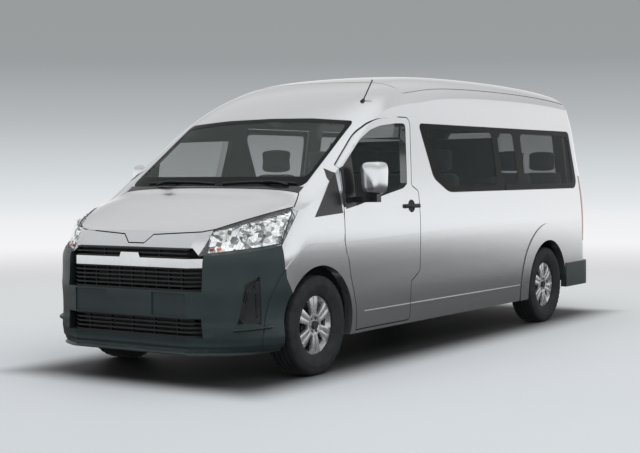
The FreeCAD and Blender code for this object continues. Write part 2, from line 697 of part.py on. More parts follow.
def make_nose():
    half = size("grille_half_width")
    zone_corners = front_outline([(0.521, 0.4102), (0.58, 0.39), (0.621, 0.47), (0.621, 0.53)])
    zone = front_prism(zone_corners, nose_edge, lamp_corner)
    nose = single(open_front.common(zone))
    keep_shape("nose_panel", nose)
    lamp_front = [
        (0.58 * half_width, 0.35 * height, 0), (1.1 * half_width, 0.35 * height, 0),
        (1.1 * half_width, 0.6 * height, 0), (0.621 * half_width, 0.6 * height, 0),
        (0.621 * half_width, 0.47 * height, 0), (0.58 * half_width, 0.39 * height, 0),
    ]
    lamp_side = [
        lamp_edge[0], lamp_edge[1], *lamp_floor, (nose_edge, 0.6 * height, 0), (lamp_edge[0][0], 0.6 * height, 0),
    ]
    lamp_zone = front_prism(lamp_front, nose_edge, axle_y).common(side_prism(lamp_side, 0, wide))
    keep_shape("headlamps", both(single(open_front.common(lamp_zone).cut(under_lens))))
    bowls = [
        Part.makeCylinder(size("bowl_radius") * s, overhang, V(a * half_width, nose_edge, b * height), V(0, 1, 0))
        for a, b, s in bowl_shares
    ]
    bowl_floor = body_form(size("bowl_depth"), size("bowl_depth"))
    housing = open_front.common(lamp_zone).common(body_form(size("lens_thickness") + seat, wall))
    housing = housing.cut(Part.makeCompound(bowls).cut(bowl_floor))
    keep_shape("lamp_housings", both(single(housing)))
    lip = size("bumper_lip_height")
    corners = [
        (nose_edge, lip, 0), (axle_y - 0.408 * overhang, lip, 0), (axle_y - 0.306 * overhang, 0.13 * height, 0),
        *bumper_edge[::-1], lamp_edge[1], *lamp_floor,
    ]
    bumper = open_front.common(side_prism(corners, -wide, wide))
    face = behind("grille_face_from_axle")
    back = face + size("grille_facet_back")
    bend, slat = size("nose_bend"), size("slat_thickness")
    recess_plan = [
        (-half, nose_edge, 0), (half, nose_edge, 0), (half, back, 0), (bend, face, 0), (-bend, face, 0),
        (-half, back, 0),
    ]
    low, high = size("lower_grille_bottom"), size("vent_top")
    recess = plan_prism(recess_plan, low, high)
    holes = block(-half, half, nose_edge, back + 3 * wall, low, size("lower_grille_top"))
    holes = holes.fuse(block(-half, half, nose_edge, back + 3 * wall, size("grille_bottom"), high))
    panel = size("plate_panel_half")
    band_low, band_high = size("lower_grille_top") + slat, size("grille_bottom") - slat
    reliefs = block(panel, bend, nose_edge, axle_y, band_low, band_high)
    reliefs = reliefs.fuse(mirrored(reliefs)).cut(body_form(size("plate_panel_relief"), 0))
    pocket = side_prism(front_points(pocket_shares), 0, wide).cut(under_skin)
    pocket = pocket.common(block(bend, wide, nose_edge, axle_y, 0, tall))
    bumper = bumper.cut(recess).cut(holes).cut(reliefs).cut(pocket).cut(mirrored(pocket))
    keep_shape("front_bumper", single(bumper))


def facet_path(offset, reach):
    """Plan line of the grille: facet, flat face and facet, set back by an offset."""
    face = behind("grille_face_from_axle") + offset
    back = face + size("grille_facet_back")
    half, bend = size("grille_half_width") - reach, size("nose_bend")
    tilt = (half - bend) / (size("grille_half_width") - bend)
    back = face + size("grille_facet_back") * tilt
    return [(-half, back), (-bend, face), (bend, face), (half, back)]


def facet_band(depth, bottom, top, offset=0.0):
    """Bar of a depth that follows the grille's plan line between two heights."""
    ahead = facet_path(offset, seat)
    behind_line = facet_path(offset + depth, seat)
    corners = [(x, y, 0) for x, y in ahead + behind_line[::-1]]
    return plan_prism(corners, bottom, top)


def slatted(bottom, top, count, posts):
    """Slats between two heights, joined by upright bars."""
    depth, thick = size("slat_depth"), size("slat_thickness")
    pitch = (top - bottom - thick) / (count - 1)
    pieces = [facet_band(depth, bottom + i * pitch, bottom + i * pitch + thick, thick) for i in range(count)]
    bend = size("nose_bend")
    face = behind("grille_face_from_axle")
    for i in range(posts):
        x = bend * (2 * (i + 0.5) / posts - 1)
        pieces.append(block(x - thick / 4, x + thick / 4, face + 2 * thick, face + thick + depth, bottom, top))
    return pieces[0].multiFuse(pieces[1:])


def make_grilles():
    bottom, top = size("grille_bottom"), size("grille_top")
    main = slatted(bottom + seat, top - seat, 6, 9)
    bottom, top = size("lower_grille_bottom"), size("lower_grille_top")
    lower = slatted(bottom + seat, top - seat, 5, 5)
    bar = facet_band(size("bar_depth"), size("grille_top"), size("chrome_top"))
    tab, face, chrome = size("tab_half_width"), behind("grille_face_from_axle"), size("chrome_top")
    tab_top = (chrome + size("vent_top")) / 2
    plate = front_prism([
        (-tab, chrome - seat, 0), (tab, chrome - seat, 0), (0.85 * tab, tab_top, 0), (-0.85 * tab, tab_top, 0),
    ], face, face + size("bar_depth"))
    keep_shape("bright_bar", single(bar.fuse(plate)))
    vents = slatted(chrome + seat, size("vent_top") - seat, 3, 2)
    vents = vents.common(block(-size("nose_bend"), size("nose_bend"), nose_edge, axle_y, 0, tall))
    vents = vents.cut(block(-tab - seat, tab + seat, nose_edge, axle_y, 0, tab_top + seat))
    keep_shape("grilles", Part.makeCompound([main, lower, single(vents)]))


def hinged_panel(corners, cutter, grow_skin, grow_body):
    """Door of the wall's whole thickness: a skin over an inner body that is a rebate smaller."""
    cover = skin.common(cutter(corners, grow_skin))
    body = shell.common(cutter(corners, grow_body))
    return cover.fuse(body)


def door_side(corners, grow):
    return side_prism(corners, door_inboard, wide, grow)


def make_cab_doors():
    panel = hinged_panel(door_outline, door_side, 0, -size("door_rebate"))
    panel = single(panel.cut(side_prism(door_window, inboard, wide)))
    keep_shape("door_panel_left", panel)
    keep_shape("door_panel_right", mirrored(panel))
    divider = door_front + 0.152 * door_length
    behind_divider = block(0, wide, divider, cab_seam, sill, tall)
    inside = side_prism(door_window, inboard, wide, -seat)
    pane = single(pane_skin.common(inside).common(behind_divider))
    keep_shape("door_glass_left", pane)
    keep_shape("door_glass_right", mirrored(pane))
    ahead = block(0, wide, axle_y, divider - seat, sill, tall)
    sail = single(skin.common(inside).common(ahead))
    reach = size("mirror_reach")
    place_y = behind("mirror_from_axle")
    low = size("mirror_bottom_height")
    deep, across, rise = size("mirror_depth"), size("mirror_width"), size("mirror_height")
    housing = Part.makeBox(across, deep, rise, V(reach - across / 2, place_y - deep / 2, low))
    housing = housing.makeFillet(deep / 3, housing.Edges)
    foot = Part.makeBox(across / 2, deep / 2, rise / 4, V(reach - across / 4, place_y - deep / 4, low - rise / 4))
    arm = block(
        0.955 * half_width, reach, place_y - deep / 2, place_y - deep / 4, low - rise / 4, low - rise / 12
    )
    stand = single(sail.fuse(arm).fuse(foot).cut(housing))
    keep_shape("mirror_stand_left", stand)
    keep_shape("mirror_stand_right", mirrored(stand))
    keep_shape("mirror_housing_left", housing)
    keep_shape("mirror_housing_right", mirrored(housing))


def slider_corners():
    front = behind("slider_front_from_axle")
    long = size("slider_length")
    low, high = size("slider_bottom_height"), size("slider_top_height")
    round_share = 0.03
    r = round_share * long
    return [(front, low, r), (front + long, low, r), (front + long, high, r), (front, high, r)]


gate_half = size("gate_width_half")
gate_low, gate_high = size("gate_bottom_height"), size("gate_top_height")
gate_outline = [
    (-gate_half, gate_low, 40), (gate_half, gate_low, 40), (0.93 * gate_half, gate_high, 60),
    (-0.93 * gate_half, gate_high, 60),
]
rear_start = rear_axle_y + size("arch_radius")


def gate_prism(corners, grow):
    return front_prism(corners, rear_start, tail_edge, grow)


def make_rear():
    rear_shell = shell.common(block(-wide, wide, cab_seam, tail_edge, 0, tall))
    gate_opening = gate_prism(gate_outline, gap)
    rear_shell = rear_shell.cut(gate_opening)
    roof = rear_shell.common(block(-wide, wide, cab_seam, tail_edge, gutter, tall))
    keep_shape("roof_panel", single(roof))
    bumper_front, bumper_top = behind("bumper_rear_front_from_axle"), size("bumper_rear_top")
    corners = [
        (door_front + 0.148 * door_length, sill, 0), (bumper_front, sill, 0), (bumper_front, bumper_top, 0),
        (tail_edge, bumper_top, 0), (tail_edge, gutter, 0), (cab_seam, gutter, 0), *pillar_outline,
        (pillar_y[1], door_bottom - gap, 0), (door_front + 0.148 * door_length, door_bottom - gap, 0),
    ]
    low_shell = shell.cut(gate_opening).cut(arches).common(side_prism(corners, 0, wide)).cut(door_opening)
    window = side_prism(window_outline, inboard, wide)
    lamp_zone = side_prism([
        (tail_y - 0.053 * length, 0.325 * height, 0), (tail_edge, 0.325 * height, 0), (tail_edge, 0.61 * height, 0),
        (tail_y - 0.065 * length, 0.61 * height, 0),
    ], 0, wide).common(block(gate_half + gap, wide, rear_start, tail_edge, 0, tall))
    lamp = single(low_shell.common(lamp_zone))
    low_shell = low_shell.cut(lamp_zone)
    left = single(low_shell.cut(window))
    keep_shape("side_panel_left", left)
    keep_shape("tail_lamps", both(lamp))
    opening = side_prism(slider_corners(), inboard, wide)
    right = single(low_shell.cut(opening).cut(window))
    keep_shape("side_panel_right", mirrored(right))
    inside = -seat
    slider = skin.common(side_prism(slider_corners(), inboard, wide, -gap / 2))
    slider = slider.fuse(shell.common(side_prism(slider_corners(), inboard, wide, inside)))
    post_share = 0.045
    rear_post = window_front + 0.39 * window_length
    post = block(0, wide, rear_post - post_share * window_length, rear_post, sill, tall)
    slider = single(slider.cut(window.cut(post)))
    keep_shape("sliding_door", mirrored(slider))
    pane_zone = side_prism(window_outline, inboard, wide, inside)
    panes = pane_skin.common(pane_zone)
    split = behind("window_split_from_axle")
    left_panes = panes.cut(block(0, wide, split - 1, split + 1, sill, tall))
    right_panes = panes.cut(post)
    keep_shape("side_windows", Part.makeCompound(left_panes.Solids + [mirrored(s) for s in right_panes.Solids]))
    gate = hinged_panel(gate_outline, gate_prism, 0, -size("door_rebate"))
    gate_window = [
        (-0.8 * gate_half, 0.56 * height, 40), (0.8 * gate_half, 0.56 * height, 40),
        (0.74 * gate_half, 0.81 * height, 60), (-0.74 * gate_half, 0.81 * height, 60),
    ]
    gate = single(gate.cut(gate_prism(gate_window, 0)))
    keep_shape("tailgate_panel", gate)
    keep_shape("tailgate_glass", single(pane_skin.common(gate_prism(gate_window, inside))))
    bumper_form = rear_bumper_form()
    keep_shape("rear_bumper", bumper_form)


def rear_bumper_form():
    """Moulding that stands proud of the tail and wraps round both corners."""
    front = behind("bumper_rear_front_from_axle") + seat
    low, high = size("bumper_rear_bottom"), size("bumper_rear_top") - seat
    corner = 1.3 * size("tail_corner")
    across = half_width - 6

    def outline(inset):
        w = across - inset
        r = corner - inset
        return [(-w, front, 0), (w, front, 0), (w, tail_y - inset, r), (-w, tail_y - inset, r)]

    solid = plan_prism(outline(0), low, high)
    hollow = plan_prism(outline(wall), 0, tall)
    hollow = hollow.fuse(block(wall - across, across - wall, front - overrun, front + overrun, 0, tall))
    return single(solid.cut(hollow).cut(arches))


make_bonnet()
make_windscreen()
make_cowl()
make_wings()
make_cab_upper()
make_nose()
make_grilles()
make_cab_doors()
make_rear()

# Heights of the door hinges in the door's height, and places of the lid hinges in the half width.
door_hinge_shares = [0.43, 0.535]
lid_hinge_shares = [-0.35, 0.35]

AXLE = "(sizes.front_overhang - sizes.overall_length / 2)"
REAR = "(sizes.front_overhang - sizes.overall_length / 2 + sizes.wheel_base)"
HUB = "sizes.tyre_radius"


def bound(kind, name, place, **lengths):
    """A primitive whose sizes and place are tied to the sheet."""
    feature = doc.addObject(kind, name)
    for prop, words in lengths.items():
        feature.setExpression(prop, words)
    for letter, words in zip("xyz", place):
        feature.setExpression(f".Placement.Base.{letter}", words)
    return feature


def bound_box(name, x, y, z, across, along, tall_words):
    return bound("Part::Box", name, (x, y, z), Length=across, Width=along, Height=tall_words)


def bound_rod(name, x, y, z, radius, reach, way):
    """A cylinder from a place along an axis."""
    rod = bound("Part::Cylinder", name, (x, y, z), Radius=radius, Height=reach)
    rod.Placement.Rotation = FreeCAD.Rotation(V(0, 0, 1), way)
    return rod


def fused(name, features):
    union = doc.addObject("Part::MultiFuse", name)
    union.Shapes = features
    return union


def make_floor():
    snug = body_form(wall + seat, roof_wall + seat)
    low, thick = size("floor_height"), size("floor_thickness")
    front = behind("bulkhead_from_axle")
    plate = size("bulkhead_wall")
    rise, step_y, top = size("bulkhead_step_height"), behind("bulkhead_top_from_axle"), size("bulkhead_top_height")
    slab = block(-wide, wide, front, tail_y, low, low + thick)
    bent = side_prism([
        (front, low, 0), (front, rise - plate, 0), (step_y, rise - plate, 0), (step_y, top, 0),
        (step_y + plate, top, 0), (step_y + plate, rise, 0), (front + plate, rise, 0), (front + plate, low, 0),
    ], -wide, wide)
    edge = half_width - wall - size("door_floor_clearance")
    beside_doors = block(edge, wide, door_front - 2 * overrun, cab_seam, 0, tall)
    clear = beside_doors.fuse(mirrored(beside_doors))
    liner_r = size("arch_radius") + 2 * size("liner_wall")
    inner = size("rear_liner_inner")
    tubs = Part.makeCylinder(liner_r, wide - inner, V(inner, rear_axle_y, wheel_z), V(1, 0, 0))
    floor = snug.common(slab).cut(clear).cut(tubs).cut(mirrored(tubs))
    ahead = snug.common(bent).cut(clear)
    keep_shape("floor_pan", single(single(floor).fuse(single(ahead))))


def arch_liner(y, inner, outside):
    """Half tube over a wheel, open below."""
    thick = size("liner_wall")
    outer_r = size("arch_radius") + 2 * thick - seat
    tube = Part.makeCylinder(outer_r, outside - inner, V(inner, y, wheel_z), V(1, 0, 0))
    bore = Part.makeCylinder(outer_r - thick, outside - inner, V(inner, y, wheel_z), V(1, 0, 0))
    low = wheel_z
    return tube.cut(bore).cut(block(-wide, wide, y - 2 * outer_r, y + 2 * outer_r, 0, low))


def make_liners():
    hollow = body_form(wall + seat, roof_wall + seat)
    front = arch_liner(axle_y, size("liner_inner"), half_width).common(hollow)
    rear = arch_liner(rear_axle_y, size("rear_liner_inner"), half_width)
    thick = size("liner_wall")
    radius = size("arch_radius") + 2 * thick - seat
    inner = size("rear_liner_inner")
    cheek = Part.makeCylinder(radius, thick, V(inner, rear_axle_y, wheel_z), V(1, 0, 0))
    cheek = cheek.cut(block(-wide, wide, rear_axle_y - radius, rear_axle_y + radius, 0, wheel_z))
    notch = size("axle_tube_radius") + overrun
    cheek = cheek.cut(Part.makeCylinder(notch, wide, V(0, rear_axle_y, wheel_z), V(1, 0, 0)))
    rear = rear.fuse(cheek).common(hollow)
    front, rear = single(front), single(rear)
    keep_shape("arch_liners", Part.makeCompound([front, rear, mirrored(front), mirrored(rear)]))


# Cross members of the frame, in shares of the wheel base behind the front axle.
member_shares = [0.36, 0.62, 0.84, 1.1, 1.23]
jack_pad_shares = [0.26, 0.71]


def make_frame():
    rail_low = "sizes.floor_height - sizes.frame_rail_height"
    start = f"{AXLE} + sizes.grille_face_from_axle + sizes.side_wall + sizes.bar_depth"
    pieces = []
    for side in (-1, 1):
        pieces.append(bound_box(
            "rail", f"{side} * sizes.frame_rail_centre - sizes.frame_rail_width / 2", start, rail_low,
            "sizes.frame_rail_width", "sizes.overall_length - sizes.side_wall * 5", "sizes.frame_rail_height",
        ))
        for share in jack_pad_shares:
            pieces.append(bound_box(
                "jack_pad", f"{side} * sizes.frame_rail_centre - sizes.jack_pad / 2",
                f"{AXLE} + {share} * sizes.wheel_base", f"{rail_low} - sizes.jack_pad_height",
                "sizes.jack_pad", "sizes.jack_pad", "2 * sizes.jack_pad_height",
            ))
    for share in member_shares:
        pieces.append(bound_box(
            "member", "-sizes.frame_rail_centre", f"{AXLE} + {share} * sizes.wheel_base", rail_low,
            "2 * sizes.frame_rail_centre", "sizes.cross_member_width", "sizes.frame_rail_height",
        ))
    pieces.append(bound_box(
        "bumper_beam", "-sizes.frame_rail_centre - sizes.frame_rail_width / 2", start, rail_low,
        "2 * sizes.frame_rail_centre + sizes.frame_rail_width", "sizes.cross_member_width",
        "sizes.frame_rail_height * 2",
    ))
    keep("chassis_frame", fused("chassis_frame", pieces))


def make_engine():
    block_box = bound_box(
        "crankcase", "-sizes.engine_width / 2", f"{AXLE} + sizes.engine_from_axle",
        "sizes.engine_bottom_height", "sizes.engine_width", "sizes.engine_length", "sizes.engine_height",
    )
    gearbox = bound_box(
        "gearbox", "-sizes.gearbox_width / 2", f"{AXLE} + sizes.engine_from_axle + sizes.engine_length",
        "sizes.engine_bottom_height - sizes.gearbox_drop", "sizes.gearbox_width", "sizes.gearbox_length",
        "sizes.gearbox_height",
    )
    keep("engine_block", fused("engine_block", [block_box, gearbox]))
    shaft_start = f"{AXLE} + sizes.engine_from_axle + sizes.engine_length + sizes.gearbox_length + sizes.seat_gap"
    keep("propeller_shaft", bound_rod(
        "propeller_shaft", "0", shaft_start, HUB, "sizes.shaft_radius",
        f"{REAR} - sizes.differential_radius - sizes.seat_gap - ({shaft_start})", V(0, 1, 0),
    ))


def make_tank():
    tank = bound_box(
        "tank_box", "sizes.frame_rail_centre + sizes.frame_rail_width / 2 + sizes.seat_gap",
        f"{AXLE} + sizes.tank_from_axle", "sizes.floor_height - sizes.tank_height - sizes.seat_gap",
        "sizes.tank_width", "sizes.tank_length", "sizes.tank_height",
    )
    keep("fuel_tank", tank)


def make_exhaust():
    """Pipe outside the right rail, over the axle to a silencer behind it, with a turned-down tail pipe."""
    x, radius, drum = -size("exhaust_from_centre"), size("exhaust_radius"), size("silencer_radius")
    begin, end = behind("exhaust_from_axle"), behind("silencer_from_axle")
    low = size("floor_height")
    pipe = Part.makeCylinder(radius, end - begin, V(x, begin, low - radius - seat), V(0, 1, 0))
    z = low - drum - seat
    silencer = Part.makeCylinder(drum, size("silencer_length"), V(x - radius, end, z), V(0, 1, 0))
    turn = size("tail_pipe_turn")
    tail = Part.makeCylinder(radius, size("tail_pipe_length"))
    tail.rotate(V(0, 0, 0), V(1, 0, 0), -90 - turn)
    tail.translate(V(x - radius, end + size("silencer_length") - radius, z))
    keep_shape("exhaust", single(pipe.multiFuse([silencer, tail])))


def half_plate(x_root, x_tip, half_root, half_tip, z, thick):
    """Wishbone: a plate that narrows towards its ball joint."""
    corners = [
        (x_root, axle_y - half_root, 0), (x_tip, axle_y - half_tip, half_tip * 0.9),
        (x_tip, axle_y + half_tip, half_tip * 0.9), (x_root, axle_y + half_root, 0),
    ]
    return plan_prism(corners, z, z + thick)


def make_front_suspension():
    pin = size("kingpin_from_centre")
    tip = pin + size("arm_half_tip")
    reach = size("upright_half_height")
    thick = size("arm_thickness")
    rail_out = size("frame_rail_centre") + size("frame_rail_width") / 2 + seat
    root, narrow = size("arm_half_root"), size("arm_half_tip")
    low_z = wheel_z - reach - seat - thick
    lower = half_plate(rail_out - seat, tip, root, narrow, low_z, thick)
    upper = half_plate(rail_out, tip, root, narrow, wheel_z + reach + seat, thick)
    window = half_plate(rail_out + overrun, pin - 2 * narrow, 0.6 * root, narrow / 2, 0, tall)
    lower, upper = lower.cut(window), upper.cut(window)
    half = size("frame_rail_centre") + size("frame_rail_width") / 2
    rail_low = size("floor_height") - size("frame_rail_height") - seat
    top = size("engine_bottom_height") - seat
    bridge = block(-half, half, axle_y - root, axle_y + root, low_z, top)
    saddle = block(half - size("frame_rail_width"), half, axle_y - root, axle_y + root, low_z, rail_low)
    hollow = Part.makeCylinder(root, 4 * root, V(0, axle_y - 2 * root, low_z), V(0, 1, 0))
    base = bridge.cut(hollow).multiFuse([saddle, mirrored(saddle), lower, mirrored(lower)])
    keep_shape("front_suspension", Part.makeCompound([single(base), single(upper), mirrored(single(upper))]))


def stub_end(track):
    return track / 2 + size("rim_width") / 2 - size("rim_disc_inset") + size("spindle_overhang")


def make_knuckles():
    pin = size("kingpin_from_centre")
    reach = size("upright_half_height")
    upright = Part.makeCylinder(size("kingpin_radius"), 2 * reach, V(pin, axle_y, wheel_z - reach))
    end = stub_end(size("front_track"))
    radius = size("hub_bore_radius") - size("running_clearance")
    stub = Part.makeCylinder(radius, end - pin, V(pin, axle_y, wheel_z), V(1, 0, 0))
    shield = Part.makeCylinder(
        size("brake_radius"), size("brake_width"), V(size("brake_from_centre"), axle_y, wheel_z), V(1, 0, 0)
    )
    knuckle = upright.fuse(stub).fuse(shield)
    keep_shape("knuckle_left", single(knuckle))
    keep_shape("knuckle_right", mirrored(single(knuckle)))


def ring(points):
    """Solid turned about the X axis from a closed profile of (x, radius, rounding)."""
    wire = rounded(points)
    face = Part.Face(wire)
    return face.revolve(V(0, 0, 0), V(1, 0, 0), 360)


def make_rear_axle():
    """Tube with the differential in the middle, a drum and a stub at each end, turned in one piece."""
    tube, case = size("axle_tube_radius"), size("differential_radius")
    drum_x, drum, deep = size("rear_drum_from_centre"), size("drum_radius"), size("drum_width")
    stub = size("hub_bore_radius") - size("running_clearance")
    end = stub_end(size("rear_track"))
    case_flat_share, case_end_share, case_round_share = 0.5, 1.2, 0.3
    right = [
        (case_flat_share * case, case, case_round_share * case),
        (case_end_share * case, tube, case_round_share * tube),
        (drum_x, tube, 0), (drum_x, drum, 0), (drum_x + deep, drum, 0), (drum_x + deep, stub, 0),
        (end, stub, 0), (end, 0, 0),
    ]
    axle = ring(right + [(-x, r, c) for x, r, c in right[::-1]])
    keep_shape("rear_axle", axle, V(0, rear_axle_y, wheel_z))


def make_springs():
    leaf, count = size("spring_leaf"), int(size("spring_leaves"))
    half = size("spring_length") / 2
    top = wheel_z - size("axle_tube_radius") - seat
    rail = size("floor_height") - size("frame_rail_height") - seat
    eye = 1.6 * leaf
    rise = rail - 2 * eye - top
    x0 = size("frame_rail_centre") - size("spring_width") / 2
    radius = (half ** 2 + rise ** 2) / (2 * rise)
    centre_z = top + radius
    pieces = []
    for i in range(count):
        inner, outer_r = radius + i * leaf, radius + (i + 1) * leaf
        reach = math.degrees(math.asin(half * (1 - i * 0.2) / radius))
        strip = []
        for r in (inner, outer_r):
            angles = [math.radians(a) for a in (-reach, 0, reach)]
            points = [V(x0, rear_axle_y + r * math.sin(a), centre_z - r * math.cos(a)) for a in angles]
            strip.append(Part.Arc(*points).toShape())
        ends = [
            Part.makeLine(strip[0].Vertexes[k].Point, strip[1].Vertexes[k].Point) for k in (0, 1)
        ]
        wire = Part.Wire(Part.__sortEdges__([strip[0], strip[1]] + ends))
        pieces.append(Part.Face(wire).extrude(V(size("spring_width"), 0, 0)))
    for way in (-1, 1):
        y = rear_axle_y + way * half
        z = top + rise
        pieces.append(Part.makeCylinder(eye, size("spring_width"), V(x0, y, z), V(1, 0, 0)))
        pieces.append(block(x0, x0 + size("spring_width"), y - eye / 2, y + eye / 2, z, rail))
    spring = single(pieces[0].multiFuse(pieces[1:]))
    keep_shape("leaf_springs", both(spring))


def tyre_shape():
    half = size("tyre_width") / 2
    outer_r, inner_r = size("tyre_radius"), size("rim_seat_radius") + seat
    bead = size("rim_width") / 2 - size("rim_wall") - seat
    shoulder, bulge = size("tyre_shoulder"), size("tyre_bulge")
    tread = half - bulge
    middle = (outer_r + inner_r) / 2
    right = [
        (bead, inner_r, 0), (bead, size("rim_radius"), 0), (half, middle, shoulder * 1.2), (tread, outer_r, shoulder),
    ]
    return ring(right + [(-x, r, c) for x, r, c in right[::-1]])


def rim_shape():
    half, thick = size("rim_width") / 2, size("rim_wall")
    flange, bead, well = size("rim_radius"), size("rim_seat_radius"), size("rim_well_radius")
    seat_end = half - 4 * thick
    well_half = half - 8 * thick
    top = [
        (half, flange, 0), (half - thick, flange, 0), (half - thick, bead, 0), (seat_end, bead, 0), (well_half, well, 0),
    ]
    under = [
        (well_half, well - thick, 0), (seat_end, bead - thick, 0), (half, bead - thick, 0),
    ]
    left_top = [(-x, r, c) for x, r, c in top[::-1]]
    left_under = [(-x, r, c) for x, r, c in under[::-1]]
    barrel = ring(top + left_top + left_under + under)
    face_x = half - size("rim_disc_inset")
    depth = size("rim_disc_depth")
    hub = Part.makeCylinder(size("hub_radius"), depth, V(face_x - depth, 0, 0), V(1, 0, 0))
    pieces = [hub]
    width = size("rim_rib_width")
    reach = bead - thick / 2
    start = size("hub_radius") * 0.7
    rib = Part.makeBox(depth * 0.8, width, reach - start, V(face_x - depth * 0.8, -width / 2, start))
    for i in range(6):
        for way in (-1, 1):
            turned = rib.copy()
            turned.rotate(V(0, 0, 0), V(1, 0, 0), 60 * i + way * size("rim_rib_spread"))
            pieces.append(turned)
    wheel = barrel.multiFuse(pieces)
    cuts = [Part.makeCylinder(size("hub_bore_radius"), 3 * depth, V(face_x - 2 * depth, 0, 0), V(1, 0, 0))]
    for i in range(6):
        angle = math.radians(60 * i + 30)
        r = size("lug_circle_radius")
        cuts.append(Part.makeCylinder(
            size("lug_hole_radius"), depth, V(face_x - depth / 2, r * math.sin(angle), r * math.cos(angle)), V(1, 0, 0)
        ))
    return single(wheel.cut(Part.makeCompound(cuts)))


def make_wheels():
    tyre, rim = tyre_shape(), rim_shape()
    for end, y, track in (("front", axle_y, size("front_track")), ("rear", rear_axle_y, size("rear_track"))):
        for side, way in (("left", 1), ("right", -1)):
            for kind, form in (("tyre", tyre), ("wheel", rim)):
                piece = form.copy() if way > 0 else mirrored(form)
                keep_shape(f"{kind}_{end}_{side}", piece, V(way * track / 2, y, wheel_z))


def padding(across, deep, tall_pad, corner, softness):
    """Upholstered block with all its edges rounded."""
    box = Part.makeBox(across, deep, tall_pad, corner)
    return box.makeFillet(softness, box.Edges)


def seat_set(x, y, z):
    """Cushion, back rest and head rest of one seat, with its front edge at y."""
    w, d, pad = size("seat_width"), size("seat_depth"), size("seat_pad")
    back_pad, back_rise = size("seat_back_pad"), size("seat_back_height")
    head_w, head_rise = size("head_width"), size("head_height")
    soft = size("seat_softness")
    lean = math.radians(size("seat_lean"))
    foot = V(x - w / 2, y + d + seat + soft * (1 - math.cos(lean)), z)
    cushion = padding(w, d, pad, V(x - w / 2, y, z), soft)
    back = padding(w, back_pad, back_rise, foot, soft)
    head = padding(head_w, back_pad * 2 / 3, head_rise, V(x - head_w / 2, foot.y, z + back_rise + seat), soft / 2)
    for piece in (back, head):
        piece.rotate(foot + V(0, 0, soft), V(1, 0, 0), -size("seat_lean"))
    return [cushion, back, head]


def make_seats():
    floor_top = size("floor_height") + size("floor_thickness")
    z = size("seat_height")
    cab, rows, plinths = [], [], []
    front_y = behind("cab_seat_from_axle")
    half_plinth = size("plinth_half_width")
    depth = size("seat_depth")
    for x in (-size("cab_seat_from_centre"), size("cab_seat_from_centre")):
        cab += seat_set(x, front_y, z)
        plinths.append(block(x - 2 * half_plinth, x + 2 * half_plinth, front_y + depth / 8, front_y + depth, floor_top + seat, z - seat))
    first, pitch = behind("row_first_from_axle"), size("row_pitch")
    for i in range(int(size("row_count"))):
        for x in (-size("row_outer_seat"), size("row_inner_seat"), size("row_outer_seat")):
            y = first + i * pitch
            rows += seat_set(x, y, z)
            plinths.append(block(x - half_plinth, x + half_plinth, y + depth / 8, y + depth * 7 / 8, floor_top + seat, z - seat))
    keep_shape("cab_seats", Part.makeCompound(cab))
    keep_shape("row_seats", Part.makeCompound(rows))
    keep_shape("seat_plinths", Part.makeCompound(plinths))


def make_dashboard():
    front = behind("bulkhead_top_from_axle") + size("bulkhead_wall") + seat
    deep, low, high = size("dash_depth"), size("dash_bottom_height"), size("dash_top_height")
    rise = high - low
    corners = [
        (front, low + 0.1 * rise, 0), (front, high - 0.2 * rise, 0), (front + 0.15 * deep, high, 0),
        (front + 0.75 * deep, high, 0.1 * deep), (front + deep, high - 0.25 * rise, 0.1 * deep),
        (front + 0.9 * deep, low + 0.3 * rise, 0.1 * deep), (front + 0.6 * deep, low, 0.1 * deep),
    ]
    half = size("dash_half_width")
    keep_shape("dashboard", side_prism(corners, -half, half))
    radius, tube = size("steering_radius"), size("steering_rim")
    x = size("cab_seat_from_centre")
    y, z = front + deep + 0.45 * radius, high - 0.3 * rise
    rim = Part.makeTorus(radius, tube, V(0, 0, 0), V(0, 0, 1))
    column_length = size("column_length")
    column = Part.makeCylinder(2 * tube, column_length, V(0, 0, -column_length))
    spokes = [Part.makeBox(2 * radius, 2 * tube, tube, V(-radius, -tube, -tube / 2)), Part.makeBox(2 * tube, radius, tube, V(-tube, -radius, -tube / 2))]
    boss = Part.makeCylinder(4 * tube, 2 * tube, V(0, 0, -tube))
    wheel = rim.multiFuse([column, boss] + spokes)
    wheel.rotate(V(0, 0, 0), V(1, 0, 0), 0)
    tilt = size("steering_tilt")
    wheel.rotate(V(0, 0, 0), V(1, 0, 0), -tilt)
    wheel.translate(V(x, y, z))
    wheel = wheel.cut(side_prism(corners, -half, half, seat))
    keep_shape("steering_wheel", single(wheel))


def make_aerial():
    """Rod on a foot at the front of the roof, leaning back."""
    x, y = size("aerial_from_centre"), behind("aerial_from_axle")
    radius = size("aerial_radius")
    rod = Part.makeCylinder(radius, size("aerial_length"))
    foot = Part.makeCone(4 * radius, 2 * radius, 6 * radius, V(0, 0, -2 * radius))
    aerial = rod.fuse(foot)
    aerial.rotate(V(0, 0, 0), V(1, 0, 0), -size("aerial_lean"))
    roof_z = crown_at(x, y)
    aerial.translate(V(x, y, roof_z))
    keep_shape("aerial", single(aerial.cut(outer)))


def hinge_pin(centre, along, back, reach):
    """Pin in a shut gap with the leaf that holds it to the fixed side."""
    radius = gap / 2 - size("hinge_clearance")
    start = centre - along * (reach / 2)
    pin = Part.makeCylinder(radius, reach, start, along)
    across = along.cross(back)
    corner = start - across * radius
    leaf = Part.Face(Part.makePolygon([
        corner, corner + across * (2 * radius), corner + across * (2 * radius) + back * (gap / 2 - seat),
        corner + back * (gap / 2 - seat), corner,
    ])).extrude(along * reach)
    return pin.fuse(leaf)


